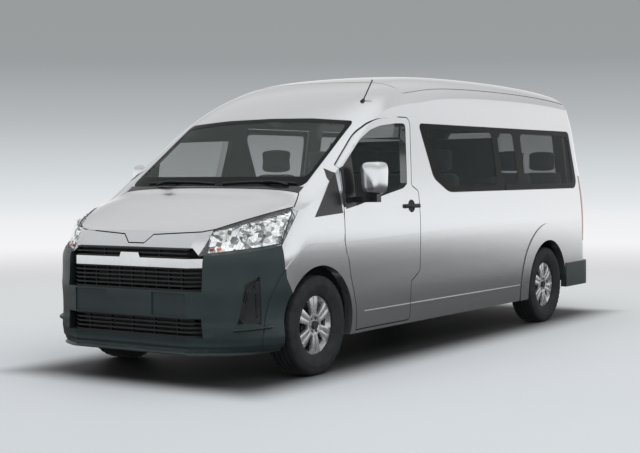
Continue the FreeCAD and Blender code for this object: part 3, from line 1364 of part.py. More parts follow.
def make_hinges():
    """Pins on the axes of cab doors, bonnet and tailgate."""
    reach = size("hinge_length")
    deep = gap / 2
    pins = []
    y = door_front - gap / 2
    out = V(1, 0, 0)
    places = [
        skin_place(0, y, door_bottom + share * door_rise, out) - out * size("hinge_depth")
        for share in door_hinge_shares
    ]
    lean = (places[1] - places[0]).normalize()
    for place in places:
        pin = hinge_pin(place, lean, V(0, -1, 0), reach)
        pins += [pin, mirrored(pin)]
    print("cab door axis", [round(c, 2) for c in places[0]], [round(c, 5) for c in lean])
    z = gate_high + gap / 2
    y = skin_place(0, rear_axle_y, z, V(0, 1, 0)).y - deep
    for share in lid_hinge_shares:
        pins.append(hinge_pin(V(share * half_width, y, z), V(1, 0, 0), V(0, 0, 1), 2 * reach))
    y = bonnet_rear + gap / 2
    z = skin_place(0, y, height / 2, V(0, 0, 1)).z - deep
    for share in lid_hinge_shares:
        pins.append(hinge_pin(V(share * half_width, y, z), V(1, 0, 0), V(0, 1, 0), 2 * reach))
    keep_shape("hinge_pins", Part.makeCompound(pins))


make_hinges()
make_aerial()
make_floor()
make_liners()
make_frame()
make_engine()
make_tank()
make_exhaust()
make_front_suspension()
make_knuckles()
make_rear_axle()
make_springs()
make_wheels()
make_seats()
make_dashboard()
doc.recompute()

doc.recompute()
for thing in doc.Objects:
    if {"Invalid", "Error"} & set(thing.State):
        raise RuntimeError(f"{thing.Label} failed: {thing.State}")
for name, feature in nodes.items():
    if feature.Shape.isNull() or not feature.Shape.isValid():
        raise RuntimeError(f"{name} has no valid shape")
for name, feature in nodes.items():
    shape = feature.Shape
    shape.exportStep(f"parts/{name}.step")
    print(name, len(shape.Solids), round(shape.Volume / 1e6, 2), "litres")
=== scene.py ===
import math

import bmesh
import bpy
from mathutils import Matrix, Vector
from mathutils.bvhtree import BVHTree


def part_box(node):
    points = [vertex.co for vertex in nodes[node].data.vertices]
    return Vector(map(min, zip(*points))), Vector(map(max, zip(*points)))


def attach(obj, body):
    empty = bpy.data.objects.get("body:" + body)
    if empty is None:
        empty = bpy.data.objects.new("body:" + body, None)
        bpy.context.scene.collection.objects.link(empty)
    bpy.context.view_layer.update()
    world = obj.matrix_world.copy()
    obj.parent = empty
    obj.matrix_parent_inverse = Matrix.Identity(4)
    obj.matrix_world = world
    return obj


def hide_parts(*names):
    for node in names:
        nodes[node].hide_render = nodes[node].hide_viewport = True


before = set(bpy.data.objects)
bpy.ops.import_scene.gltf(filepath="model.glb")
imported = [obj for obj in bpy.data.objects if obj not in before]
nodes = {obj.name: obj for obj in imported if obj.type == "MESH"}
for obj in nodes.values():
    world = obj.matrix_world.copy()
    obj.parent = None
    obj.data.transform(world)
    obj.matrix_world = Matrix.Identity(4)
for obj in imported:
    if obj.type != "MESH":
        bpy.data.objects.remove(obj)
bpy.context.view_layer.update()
scene = bpy.context.scene
print("frame loaded:", len(nodes), "nodes")

mm = 0.001
frontAxleY = -2.0455  # metres; the vehicle faces the frame's -Y
frontAxle = Vector((0, frontAxleY, 0.352))
rearAxle = Vector((0, 1.8145, 0.352))
bothSides = (("left", 1), ("right", -1))  # name and sign of X
castFrom = {"side": 1.5, "end": 4.0, "top": 3.0}  # metres from the middle, clear of the body


def behindAxle(lengthMm):  # a length measured back from the front axle, as a place on Y
    return lengthMm * mm + frontAxleY


def addObject(name, data):
    made = bpy.data.objects.new(name, data)
    scene.collection.objects.link(made)
    return made


# The camera stands where the photograph was taken from, in front of the left wing.
cameraSetup = {
    "place": (6.0294, -9.6125, 1.4129),
    "yaw": 123.8096,
    "pitch": -2.3226,
    "roll": -0.3854,
    "focalPixels": 1309.2,
    "frameWidth": 640,
    "sensor": 36.0,  # mm
}


def makeCamera():
    setup = cameraSetup
    data = bpy.data.cameras.new("camera")
    data.sensor_width = setup["sensor"]
    data.lens = setup["focalPixels"] / setup["frameWidth"] * setup["sensor"]
    data.clip_end = 200
    camera = addObject("camera", data)
    yaw, pitch, roll = (math.radians(setup[k]) for k in ("yaw", "pitch", "roll"))
    ahead = Vector((math.cos(pitch) * math.cos(yaw), math.cos(pitch) * math.sin(yaw),
                    math.sin(pitch)))
    right = ahead.cross(Vector((0, 0, 1))).normalized()
    up = right.cross(ahead)
    across = right * math.cos(roll) + up * math.sin(roll)
    above = up * math.cos(roll) - right * math.sin(roll)
    turn = Matrix((across, above, -ahead)).transposed().to_4x4()
    camera.matrix_world = Matrix.Translation(setup["place"]) @ turn
    scene.camera = camera


makeCamera()


def linear(hexColour):  # sRGB hex to the linear values that shaders take
    parts = [int(hexColour[i:i + 2], 16) / 255 for i in (1, 3, 5)]
    return tuple(c / 12.92 if c <= 0.04045 else ((c + 0.055) / 1.055) ** 2.4
                 for c in parts) + (1.0,)


def addNode(tree, kind, values=None, links=None, **settings):
    node = tree.nodes.new(kind)
    for name, value in settings.items():
        setattr(node, name, value)
    for socket, value in (values or {}).items():
        node.inputs[socket].default_value = value
    for socket, source in (links or {}).items():
        tree.links.new(source, node.inputs[socket])
    return node


def startMaterial(name, **shader):
    material = bpy.data.materials.new(name)
    material.use_nodes = True
    tree = material.node_tree
    tree.nodes.clear()
    principled = addNode(tree, "ShaderNodeBsdfPrincipled", values=shader)
    addNode(tree, "ShaderNodeOutputMaterial", links={"Surface": principled.outputs["BSDF"]})
    place = addNode(tree, "ShaderNodeTexCoord").outputs["Object"]
    return material, tree, principled, place


def setRamp(ramp, stops):
    marks = ramp.color_ramp.elements
    while len(marks) > 1:
        marks.remove(marks[-1])
    marks[0].position, marks[0].color = stops[0][0], stops[0][1]
    for position, colour in stops[1:]:
        marks.new(position).color = colour


def perSize(sizeMm):  # texture scale at which one feature measures so many millimetres
    return 1 / (sizeMm * mm)


paintSetup = {
    "colour": "#dfe2e5",
    "flakeLight": "#e8eaec",
    "flakeDark": "#d3d6da",
    "inside": "#33373a",
    "metallic": 0.93,
    "roughness": 0.17,
    "insideRoughness": 0.75,
    "coatRoughness": 0.02,
    "flakeMm": 3.0,
    "peelMm": 9.0,
    "heart": (0.0, 0.0, -0.7),  # from any panel to the middle of the vehicle
}


def outwards(tree, place, offset):
    # 1 on faces that look away from the middle of the vehicle, 0 on those inside it
    normal = addNode(tree, "ShaderNodeTexCoord").outputs["Normal"]
    spoke = addNode(tree, "ShaderNodeVectorMath", {1: offset}, {0: place}, operation="ADD")
    facing = addNode(tree, "ShaderNodeVectorMath", links={0: spoke.outputs["Vector"], 1: normal},
                     operation="DOT_PRODUCT")
    return addNode(tree, "ShaderNodeMapRange", {"From Min": -0.02, "From Max": 0.02},
                   {"Value": facing.outputs["Value"]}).outputs["Result"]


def makeSilverPaint():
    # Sprayed metallic base coat under clear lacquer: aluminium flakes soften it, lacquer mirrors.
    # The inner faces of the same panels carry dark moulded trim.
    setup = paintSetup
    material, tree, shader, place = startMaterial("sprayedSilverPaint", **{
        "Coat Weight": 1.0, "Coat Roughness": setup["coatRoughness"], "Coat IOR": 1.5,
    })
    # real flakes are 0.03 mm, drawn coarser so that they show
    flakes = addNode(tree, "ShaderNodeTexNoise", {
        "Scale": perSize(setup["flakeMm"]), "Detail": 2.0,
    }, {"Vector": place})
    ramp = addNode(tree, "ShaderNodeValToRGB", links={"Fac": flakes.outputs["Fac"]})
    setRamp(ramp, [(0.3, linear(setup["flakeDark"])), (0.5, linear(setup["colour"])),
                   (0.72, linear(setup["flakeLight"]))])
    outside = outwards(tree, place, setup["heart"])
    colour = addNode(tree, "ShaderNodeMix", data_type="RGBA")
    colour.inputs[6].default_value = linear(setup["inside"])
    tree.links.new(outside, colour.inputs[0])
    tree.links.new(ramp.outputs["Color"], colour.inputs[7])
    metal = addNode(tree, "ShaderNodeMapRange", {"To Min": 0.0, "To Max": setup["metallic"]},
                    {"Value": outside})
    rough = addNode(tree, "ShaderNodeMapRange", {
        "To Min": setup["insideRoughness"], "To Max": setup["roughness"],
    }, {"Value": outside})
    peel = addNode(tree, "ShaderNodeTexNoise", {"Scale": perSize(setup["peelMm"]), "Detail": 1.0},
                   {"Vector": place})  # orange peel of the lacquer
    bump = addNode(tree, "ShaderNodeBump", {"Strength": 0.04, "Distance": 0.0004},
                   {"Height": peel.outputs["Fac"]})
    tree.links.new(colour.outputs[2], shader.inputs["Base Color"])
    tree.links.new(metal.outputs["Result"], shader.inputs["Metallic"])
    tree.links.new(rough.outputs["Result"], shader.inputs["Roughness"])
    tree.links.new(bump.outputs["Normal"], shader.inputs["Coat Normal"])
    return material


def darker(colour, share):
    return tuple(c * share for c in linear(colour)[:3]) + (1.0,)


def makePlastic(name, light, dark, roughness, grainMm, depthMm, **more):
    # Moulded plastic: a fine even grain, and a tone that drifts a little over a hand's width.
    material, tree, shader, place = startMaterial(name, **{"Roughness": roughness, **more})
    grain = addNode(tree, "ShaderNodeTexVoronoi", {"Scale": perSize(grainMm)}, {"Vector": place},
                    feature="SMOOTH_F1")
    cloud = addNode(tree, "ShaderNodeTexNoise", {"Scale": perSize(180), "Detail": 3.0},
                    {"Vector": place})
    ramp = addNode(tree, "ShaderNodeValToRGB", links={"Fac": cloud.outputs["Fac"]})
    setRamp(ramp, [(0.35, linear(dark)), (0.65, linear(light))])
    bump = addNode(tree, "ShaderNodeBump", {"Strength": 0.5, "Distance": depthMm * mm},
                   {"Height": grain.outputs["Distance"]})
    tree.links.new(ramp.outputs["Color"], shader.inputs["Base Color"])
    tree.links.new(bump.outputs["Normal"], shader.inputs["Normal"])
    return material


def makeTintedGlass(name, colour, alpha, shine):
    # Toughened float glass, green in the mass: dark from outside, mirror-smooth.
    material, tree, shader, place = startMaterial(name, **{
        "Roughness": 0.015, "IOR": 1.52, "Alpha": alpha, "Specular IOR Level": shine,
    })
    cloud = addNode(tree, "ShaderNodeTexNoise", {"Scale": perSize(400), "Detail": 1.0},
                    {"Vector": place})
    ramp = addNode(tree, "ShaderNodeValToRGB", links={"Fac": cloud.outputs["Fac"]})
    setRamp(ramp, [(0.3, darker(colour, 0.85)), (0.7, linear(colour))])
    tree.links.new(ramp.outputs["Color"], shader.inputs["Base Color"])
    return material


def makeMetal(name, colour, roughness, scratchMm, metallic=1.0):
    # Metal whose finish varies a little in tone and gloss, as scratches and handling leave it.
    material, tree, shader, place = startMaterial(name, **{
        "Metallic": metallic, "Roughness": roughness,
    })
    brushed = addNode(tree, "ShaderNodeTexNoise", {"Scale": perSize(scratchMm), "Detail": 4.0},
                      {"Vector": place})
    ramp = addNode(tree, "ShaderNodeValToRGB", links={"Fac": brushed.outputs["Fac"]})
    setRamp(ramp, [(0.35, darker(colour, 0.88)), (0.65, linear(colour))])
    rough = addNode(tree, "ShaderNodeMapRange", {
        "From Min": 0.3, "From Max": 0.7, "To Min": roughness * 0.85, "To Max": roughness * 1.2,
    }, {"Value": brushed.outputs["Fac"]})
    tree.links.new(ramp.outputs["Color"], shader.inputs["Base Color"])
    tree.links.new(rough.outputs["Result"], shader.inputs["Roughness"])
    return material


def makeRubber():
    # Vulcanised carbon-black rubber: nearly black, dull, with dust in the flanks.
    material, tree, shader, place = startMaterial("vulcanisedRubber", **{"Roughness": 0.78})
    dust = addNode(tree, "ShaderNodeTexNoise", {"Scale": perSize(60), "Detail": 6.0},
                   {"Vector": place})
    ramp = addNode(tree, "ShaderNodeValToRGB", links={"Fac": dust.outputs["Fac"]})
    setRamp(ramp, [(0.35, linear("#1a1c1d")), (0.7, linear("#26282a"))])
    skinGrain = addNode(tree, "ShaderNodeTexNoise", {"Scale": perSize(1.5), "Detail": 2.0},
                        {"Vector": place})
    bump = addNode(tree, "ShaderNodeBump", {"Strength": 0.4, "Distance": 0.0004},
                   {"Height": skinGrain.outputs["Fac"]})
    tree.links.new(ramp.outputs["Color"], shader.inputs["Base Color"])
    tree.links.new(bump.outputs["Normal"], shader.inputs["Normal"])
    return material


def makeSeatCloth():
    # Woven polyester over foam: two thread colours, soft sheen at grazing angles.
    material, tree, shader, place = startMaterial("wovenPolyester", **{
        "Roughness": 0.9, "Sheen Weight": 0.3, "Sheen Roughness": 0.5,
    })
    threadMm = 4.0  # real threads are 0.6 mm, drawn coarser so that they show
    warp = addNode(tree, "ShaderNodeTexWave", {"Scale": perSize(threadMm) / 6, "Distortion": 0.4},
                   {"Vector": place}, bands_direction="X")
    weft = addNode(tree, "ShaderNodeTexWave", {"Scale": perSize(threadMm) / 6, "Distortion": 0.4},
                   {"Vector": place}, bands_direction="Z")
    weave = addNode(tree, "ShaderNodeMath", links={0: warp.outputs["Fac"], 1: weft.outputs["Fac"]},
                    operation="MULTIPLY")
    ramp = addNode(tree, "ShaderNodeValToRGB", links={"Fac": weave.outputs["Value"]})
    setRamp(ramp, [(0.1, linear("#35393d")), (0.7, linear("#50565b"))])
    bump = addNode(tree, "ShaderNodeBump", {"Strength": 0.4, "Distance": 0.0006},
                   {"Height": weave.outputs["Value"]})
    tree.links.new(ramp.outputs["Color"], shader.inputs["Base Color"])
    tree.links.new(bump.outputs["Normal"], shader.inputs["Normal"])
    return material


def makeLens(name, colour, alpha, ribMm):
    # Moulded polycarbonate with upright optic ribs on its inner face.
    material, tree, shader, place = startMaterial(name, **{
        "Roughness": 0.04, "IOR": 1.58, "Alpha": alpha, "Coat Weight": 0.6, "Coat Roughness": 0.02,
    })
    ribs = addNode(tree, "ShaderNodeTexWave", {"Scale": perSize(ribMm) / 20, "Distortion": 0.0},
                   {"Vector": place}, bands_direction="X")
    bump = addNode(tree, "ShaderNodeBump", {"Strength": 0.25, "Distance": 0.001},
                   {"Height": ribs.outputs["Fac"]})
    ramp = addNode(tree, "ShaderNodeValToRGB", links={"Fac": ribs.outputs["Fac"]})
    setRamp(ramp, [(0.0, darker(colour, 0.7)), (1.0, linear(colour))])
    tree.links.new(ramp.outputs["Color"], shader.inputs["Base Color"])
    tree.links.new(bump.outputs["Normal"], shader.inputs["Normal"])
    return material


silverPaint = makeSilverPaint()
# Grained polypropylene, dyed in the mass: dull grey-green with a fine leather grain.
bumperPlastic = makePlastic("grainedPolypropylene", "#2a3435", "#263031", 0.4, 2.5, 0.25,
                            **{"Specular IOR Level": 0.35})
# Gloss moulded ABS: deep black, sharp soft-edged reflections.
glossBlack = makePlastic("mouldedBlackAbs", "#1b1d1f", "#161819", 0.22, 4.0, 0.04)
# Textured polyamide of grilles, cups and arms: black and matt.
mattBlack = makePlastic("texturedPolyamide", "#202325", "#191b1c", 0.55, 2.0, 0.2)
# Enamel fired on to the rim of the glass: even black, as glossy as the pane.
ceramicBlack = makePlastic("firedBlackEnamel", "#0f1413", "#0c1010", 0.1, 3.0, 0.004,
                           **{"Specular IOR Level": 0.3, "IOR": 1.2})
# Moulded soft skin of the dashboard: dull dark grey.
dashPlastic = makePlastic("softTouchPolyurethane", "#3c4144", "#343a3c", 0.6, 2.5, 0.3)
# Blow-moulded fuel tank: black with a waxy half shine.
tankPlastic = makePlastic("blowMouldedPolyethylene", "#1f2122", "#191b1b", 0.5, 6.0, 0.4)
# Side panes tinted dark, so that the seats only just show; the laminated windscreen stays clear.
sideGlass = makeTintedGlass("greenPrivacyGlass", "#1a2524", 0.34, 0.12)
screenGlass = makeTintedGlass("laminatedScreenGlass", "#46524f", 0.16, 1.0)
# Chrome plate on moulded plastic: a near mirror, cold white.
chrome = makeMetal("platedChrome", "#dcdfe1", 0.09, 120)
# Turned aluminium under lacquer: bright satin.
alloy = makeMetal("machinedLacqueredAlloy", "#dddfe0", 0.27, 30, 0.8)
# Forged steel under wax: dark, half dull.
axleSteel = makeMetal("waxedForgedSteel", "#4a4c4d", 0.5, 15, 0.7)
# Dipped black paint of the underbody: thick and half dull.
chassisPaint = makePlastic("dippedChassisPaint", "#26292a", "#1e2021", 0.5, 8.0, 0.2)
# Sand-cast iron of the engine: grey and rough.
castIron = makeMetal("sandCastIron", "#5a5c5c", 0.6, 8, 0.8)
# Steel tube dipped in aluminium: pale, lightly stained.
exhaustSteel = makeMetal("aluminisedSteel", "#7f8284", 0.42, 12, 0.9)
# Blackened steel of wheel nuts and brake discs: dark satin.
darkBolt = makeMetal("blackenedBoltSteel", "#3a3c3e", 0.45, 6)
rubber = makeRubber()
seatCloth = makeSeatCloth()
clearLens = makeLens("clearPolycarbonate", "#e4e8ea", 0.05, 14)
redLens = makeLens("redPolycarbonate", "#8c1119", 0.96, 10)

finishes = {
    silverPaint: ["bonnet_panel", "front_wing_left", "front_wing_right", "cab_upper", "nose_panel",
                  "door_panel_left", "door_panel_right", "roof_panel", "side_panel_left",
                  "side_panel_right", "sliding_door", "tailgate_panel", "mirror_housing_left",
                  "mirror_housing_right"],
    sideGlass: ["door_glass_left", "door_glass_right", "side_windows", "tailgate_glass"],
    screenGlass: ["windscreen"],
    glossBlack: ["cowl_panel", "quarter_trims", "mirror_stand_left", "mirror_stand_right"],
    mattBlack: ["grilles", "arch_liners", "steering_wheel", "aerial", "lamp_housings"],
    bumperPlastic: ["front_bumper", "rear_bumper"],
    clearLens: ["headlamps"],
    redLens: ["tail_lamps"],
    chrome: ["bright_bar"],
    chassisPaint: ["floor_pan", "chassis_frame", "front_suspension", "rear_axle", "leaf_springs",
                   "propeller_shaft", "seat_plinths"],
    axleSteel: ["hinge_pins", "knuckle_left", "knuckle_right"],
    exhaustSteel: ["exhaust"],
    castIron: ["engine_block"],
    tankPlastic: ["fuel_tank"],
    dashPlastic: ["dashboard"],
    seatCloth: ["cab_seats", "row_seats"],
    rubber: ["tyre_front_left", "tyre_front_right", "tyre_rear_left", "tyre_rear_right"],
    alloy: ["wheel_front_left", "wheel_front_right", "wheel_rear_left", "wheel_rear_right"],
}


def dressNodes():
    for material, names in finishes.items():
        for name in names:
            nodes[name].material_slots[0].material = material


dressNodes()
print("finishes on CAD nodes")


def addMesh(name, build, materials=(), sharp=None):
    # mesh of a finished form, shaded smooth up to an angle in degrees
    mesh = bpy.data.meshes.new(name)
    bmesh.ops.recalc_face_normals(build, faces=build.faces)
    build.to_mesh(mesh)
    build.free()
    for material in materials:
        mesh.materials.append(material)
    if sharp is not None:
        mesh.shade_smooth()
        mesh.set_sharp_from_angle(angle=math.radians(sharp))
    return mesh


def addPiece(name, build, materials, body, sharp):
    piece = addObject(name, addMesh(name, build, materials, sharp))
    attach(piece, body)
    return piece


def addBevel(piece, widthMm, segments=2, angle=40):
    bevel = piece.modifiers.new("edges", "BEVEL")
    bevel.width = widthMm * mm
    bevel.segments = segments
    bevel.limit_method = "ANGLE"
    bevel.angle_limit = math.radians(angle)


def addWall(piece, thicknessMm):
    wall = piece.modifiers.new("wall", "SOLIDIFY")
    wall.thickness = thicknessMm * mm


def addSlab(build, corners, way):  # flat outline given a thickness
    low = [build.verts.new(c) for c in corners]
    high = [build.verts.new(Vector(c) + Vector(way)) for c in corners]
    build.faces.new(low)
    build.faces.new(high[::-1])
    for i in range(len(low)):
        j = (i + 1) % len(low)
        build.faces.new((low[i], high[i], high[j], low[j]))


def joinRows(build, rows, closed=True, material=0):  # skin over rows with as many points each
    for a, b in zip(rows, rows[1:]):
        for k in range(len(a) if closed else len(a) - 1):
            m = (k + 1) % len(a)
            build.faces.new((a[k], a[m], b[m], b[k])).material_index = material


def addLathe(build, profile, centre, segments, material=0, closed=True, shape=None):
    # turned about X from (place along X, radius) in metres; shape may move a point by its segment
    rows = []
    for i in range(segments):
        angle = 2 * math.pi * i / segments
        row = []
        for k, (along, radius) in enumerate(profile):
            if shape:
                along, radius = shape(i, k, along, radius)
            point = Vector((along, radius * math.cos(angle), radius * math.sin(angle)))
            row.append(build.verts.new(Vector(centre) + point))
        rows.append(row)
    joinRows(build, rows + rows[:1], closed, material)


def addTube(build, points, radius, sides=8, flat=1.0):
    # rod along points, its ends closed; radius may be a list with one for each point
    rings = []
    for i, point in enumerate(points):
        before, after = points[max(i - 1, 0)], points[min(i + 1, len(points) - 1)]
        way = (Vector(after) - Vector(before)).normalized()
        side = way.cross(Vector((0, 0, 1)))
        if side.length < 0.01:
            side = way.cross(Vector((0, 1, 0)))
        side.normalize()
        up = side.cross(way)
        size = radius[i] if isinstance(radius, list) else radius
        turns = [2 * math.pi * k / sides for k in range(sides)]
        rings.append([
            build.verts.new(Vector(point) + (side * math.cos(a) + up * flat * math.sin(a)) * size)
            for a in turns
        ])
    joinRows(build, rings)
    build.faces.new(rings[0][::-1])
    build.faces.new(rings[-1])


surfaces = {}  # for each CAD piece its surface, and how far away the last line met it


def keepSurface(node, shown):
    surfaces[node] = [BVHTree.FromObject(shown, bpy.context.evaluated_depsgraph_get()), 0.0]


def onSurface(node, start, way):
    # place and normal where a line meets a CAD piece, or of the nearest edge where it passes beside
    if node not in surfaces:
        keepSurface(node, nodes[node])
    start, way = Vector(start), Vector(way).normalized()
    tree, reach = surfaces[node]
    place, normal, _, distance = tree.ray_cast(start, way)
    if place is None:
        low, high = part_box(node)
        middle = (Vector(low) + Vector(high)) / 2
        place, normal, _, _ = tree.find_nearest(start + way * (reach or (middle - start).dot(way)))
    else:
        surfaces[node][1] = distance
    if normal.dot(way) > 0:
        normal = -normal
    return place, normal


def roundedLoop(corners, step=0.02):
    # dense closed line round corners given as (a, b, radius)
    loop = []
    count = len(corners)
    for i, (a, b, radius) in enumerate(corners):
        here = Vector((a, b))
        before = Vector(corners[i - 1][:2]) - here
        after = Vector(corners[(i + 1) % count][:2]) - here
        half = before.angle(after) / 2
        if radius and half < 1.55:  # an arc, that takes up less than half of either side
            reach = min(radius / math.tan(half), before.length * 0.48, after.length * 0.48)
            start, end = here + before.normalized() * reach, here + after.normalized() * reach
            for k in range(7):
                t = k / 6
                loop.append(start * (1 - t) ** 2 + here * 2 * t * (1 - t) + end * t ** 2)
        else:
            loop.append(here)
    dense = []
    for i, point in enumerate(loop):
        after = loop[(i + 1) % len(loop)]
        count = max(1, int((after - point).length / step))
        dense += [point.lerp(after, k / count) for k in range(count)]
    return dense


def insetLoop(loop, inset):
    # the line moved inwards by a distance
    area = sum(a.x * b.y - b.x * a.y for a, b in zip(loop, loop[1:] + loop[:1]))
    moved = []
    for i, point in enumerate(loop):
        way = (loop[(i + 1) % len(loop)] - loop[i - 1]).normalized()
        inward = Vector((-way.y, way.x)) * (1 if area > 0 else -1)
        moved.append(point + inward * inset)
    return moved


wheelSetup = {
    "spokes": 6, "root": 80, "rim": 212, "pairAtHub": 28, "pairAtRim": 55, "grooveAtHub": 3.5,
    "grooveAtRim": 6.5, "groove": 7, "faceFromCentre": 76, "thickness": 26, "bevel": 2.2,
    "boltCircle": 50, "boltHole": 12.5, "boltFloor": 24,
    "radii": [36, 44, 52, 60, 66, 78, 92, 108, 124, 140, 156, 172, 186, 197, 206, 212],
    "windows": (78, 206), "grooves": (78, 197),  # from one radius to another
    # sections in mm along the axle and outwards: barrel with its lip and drop centre, hub cap
    "barrel": [(88, 219), (86, 220), (82, 219), (79, 213), (76, 206), (60, 203), (46, 190),
               (-40, 187), (-60, 203), (-80, 206), (-84, 218), (-88, 218), (-86, 204), (-64, 197),
               (-44, 181), (40, 183), (56, 197), (70, 203), (74, 209), (84, 213)],
    "cap": [(-12, 40), (-9, 38), (-9, 28), (-3, 27.5), (-1, 26), (0, 22), (0.6, 12), (0.8, 0.2)],
    "bolt": [(0, 0.1), (0, 9), (9, 9), (11, 7.5), (11, 0.1)],
    "brakeDisc": [(44, 15), (47, 15), (47, 132), (44, 132)],
    "track": {"front": 0.8375, "rear": 0.835},  # metres from the middle
    "turned": {"front": 4, "rear": 11},  # degrees
}
tyreSetup = {
    "radius": 351.5, "bead": 205, "segments": 132,
    # a notch between the shoulder blocks and one in the tread ribs at every third segment
    "every": 3, "shoulder": (80, 109), "shoulderTop": 16, "notch": 4.2, "narrow": 0.985,
    "ribs": (14, 56), "ribNotch": 3,
}


def spokeFace(build, setup):
    # polar grid whose windows are left out: each spoke is a pair with a groove between, and widens
    # from its root to the rim
    radii = setup["radii"]
    sector = 2 * math.pi / setup["spokes"]
    rings = []
    for radius in radii:
        share = min(max((radius - setup["root"]) / (setup["rim"] - setup["root"]), 0), 1)
        pair = setup["pairAtHub"] + (setup["pairAtRim"] - setup["pairAtHub"]) * share
        groove = setup["grooveAtHub"] + (setup["grooveAtRim"] - setup["grooveAtHub"]) * share
        pairAngle = min(math.asin(min(pair / radius, 0.99)), sector * 0.46)
        grooveAngle = math.asin(groove / radius)
        ring = []
        kinds = []
        for s in range(setup["spokes"]):
            middle = sector * s
            marks = [(-pairAngle, "spoke"), (-(pairAngle + grooveAngle) / 2, "spoke"),
                     (-grooveAngle, "groove"), (grooveAngle, "spoke"),
                     ((pairAngle + grooveAngle) / 2, "spoke"), (pairAngle, "window")]
            rest = sector - 2 * pairAngle
            marks += [(pairAngle + rest * k / 4, "window") for k in (1, 2, 3)]
            for offset, kind in marks:
                ring.append(middle + offset)
                kinds.append(kind)
        rings.append(ring)
    rows = []
    for radius, ring in zip(radii, rings):  # the face bulges by 4 mm and sinks round the hub cap
        bulge = 4 * math.sin(math.pi * min(max((radius - 60) / 150, 0), 1))
        bulge -= 6 if radius < 60 else 0
        x = setup["faceFromCentre"] - 4 + bulge
        rows.append([build.verts.new(Vector((x, radius * math.sin(a), radius * math.cos(a))) * mm)
                     for a in ring])
    deep = []
    for i in range(len(radii) - 1):
        for k, kind in enumerate(kinds):
            m = (k + 1) % len(kinds)
            if kind == "window" and radii[i] in range(*setup["windows"]):
                continue
            face = build.faces.new((rows[i][k], rows[i][m], rows[i + 1][m], rows[i + 1][k]))
            if kind == "groove" and radii[i] in range(*setup["grooves"]):
                deep.append(face)
    made = bmesh.ops.extrude_face_region(build, geom=deep)
    moved = [v for v in made["geom"] if isinstance(v, bmesh.types.BMVert)]
    bmesh.ops.translate(build, verts=moved, vec=(-setup["groove"] * mm, 0, 0))
    bmesh.ops.delete(build, geom=deep, context="FACES")


def inMetres(section):
    return [(a * mm, r * mm) for a, r in section]


def makeWheelMesh():
    setup = wheelSetup
    build = bmesh.new()
    spokeFace(build, setup)
    mesh = addMesh("wheelFace", build)
    face = addObject("wheelFace", mesh)
    thick = face.modifiers.new("thickness", "SOLIDIFY")
    thick.thickness = setup["thickness"] * mm
    thick.offset = -1 if mesh.polygons[0].normal.x > 0 else 1
    addBevel(face, setup["bevel"], 2, 50)
    r = setup["boltCircle"] * mm
    angles = [math.radians(360 / setup["spokes"] * (i + 0.5)) for i in range(setup["spokes"])]
    bolts = [(r * math.sin(angle), r * math.cos(angle)) for angle in angles]
    cutters = bmesh.new()
    for y, z in bolts:
        well = Matrix.Translation((setup["faceFromCentre"] * mm, y, z))
        bmesh.ops.create_cone(
            cutters, cap_ends=True, segments=20, radius1=setup["boltHole"] * mm,
            radius2=setup["boltHole"] * mm, depth=0.06,
            matrix=well @ Matrix.Rotation(math.pi / 2, 4, "Y"),
        )
    cutterMesh = bpy.data.meshes.new("boltHoles")
    cutters.to_mesh(cutterMesh)
    cutters.free()
    cutter = addObject("boltHoles", cutterMesh)
    holes = face.modifiers.new("holes", "BOOLEAN")
    holes.operation = "DIFFERENCE"
    holes.object = cutter
    view = bpy.context.evaluated_depsgraph_get()
    shaped = bpy.data.meshes.new_from_object(face.evaluated_get(view))
    build = bmesh.new()
    build.from_mesh(shaped)
    for leftover in (face, cutter):
        bpy.data.objects.remove(leftover)
    addLathe(build, inMetres(setup["barrel"]), (0, 0, 0), 72)
    cap = [(setup["faceFromCentre"] * mm + a * mm, r * mm) for a, r in setup["cap"]]
    addLathe(build, cap, (0, 0, 0), 40, closed=False)
    floor = (setup["faceFromCentre"] - setup["boltFloor"]) * mm
    for y, z in bolts:  # bolt heads at the bottom of their wells
        addLathe(build, inMetres(setup["bolt"]), (floor, y, z), 6, 1, closed=False)
    addLathe(build, inMetres(setup["brakeDisc"]), (0, 0, 0), 48, 1)
    return addMesh("wheelForm", build, (alloy, darkBolt), 30)


def makeTyreMesh():
    setup = tyreSetup
    outer, bead = setup["radius"], setup["bead"]
    # half section from the bead over the flank and the shoulder to the middle rib
    half = [(78, bead), (88, bead + 3), (93, bead + 9), (95, bead + 15), (99, bead + 22),
            (106, bead + 42), (111, bead + 62), (112, bead + 78), (112.6, bead + 80),
            (112, bead + 83), (111, bead + 98), (108, outer - 30), (107.4, outer - 27),
            (104, outer - 14), (99, outer - 7), (92, outer - 3.5), (84, outer - 2),
            (66, outer - 1), (64, outer - 9), (56, outer - 9), (54, outer - 0.6),
            (26, outer - 0.2), (24, outer - 9), (16, outer - 9), (14, outer)]
    section = half + [(-x, r) for x, r in half[::-1]]
    (near, far), (ribLow, ribHigh) = setup["shoulder"], setup["ribs"]
    blocks = {i for i, (x, r) in enumerate(section)
              if near < abs(x) < far and r > outer - setup["shoulderTop"]}

    def shape(i, k, along, radius):
        turn = i % setup["every"]
        if k in blocks and turn == 0:
            return along * setup["narrow"] * mm, (radius - setup["notch"]) * mm
        if ribLow <= abs(along) < ribHigh and radius > outer - setup["ribNotch"] and turn == 1:
            return along * mm, (radius - setup["ribNotch"]) * mm
        return along * mm, radius * mm

    build = bmesh.new()
    addLathe(build, section, (0, 0, 0), setup["segments"], shape=shape)
    return addMesh("tyreForm", build, (rubber,), 38)


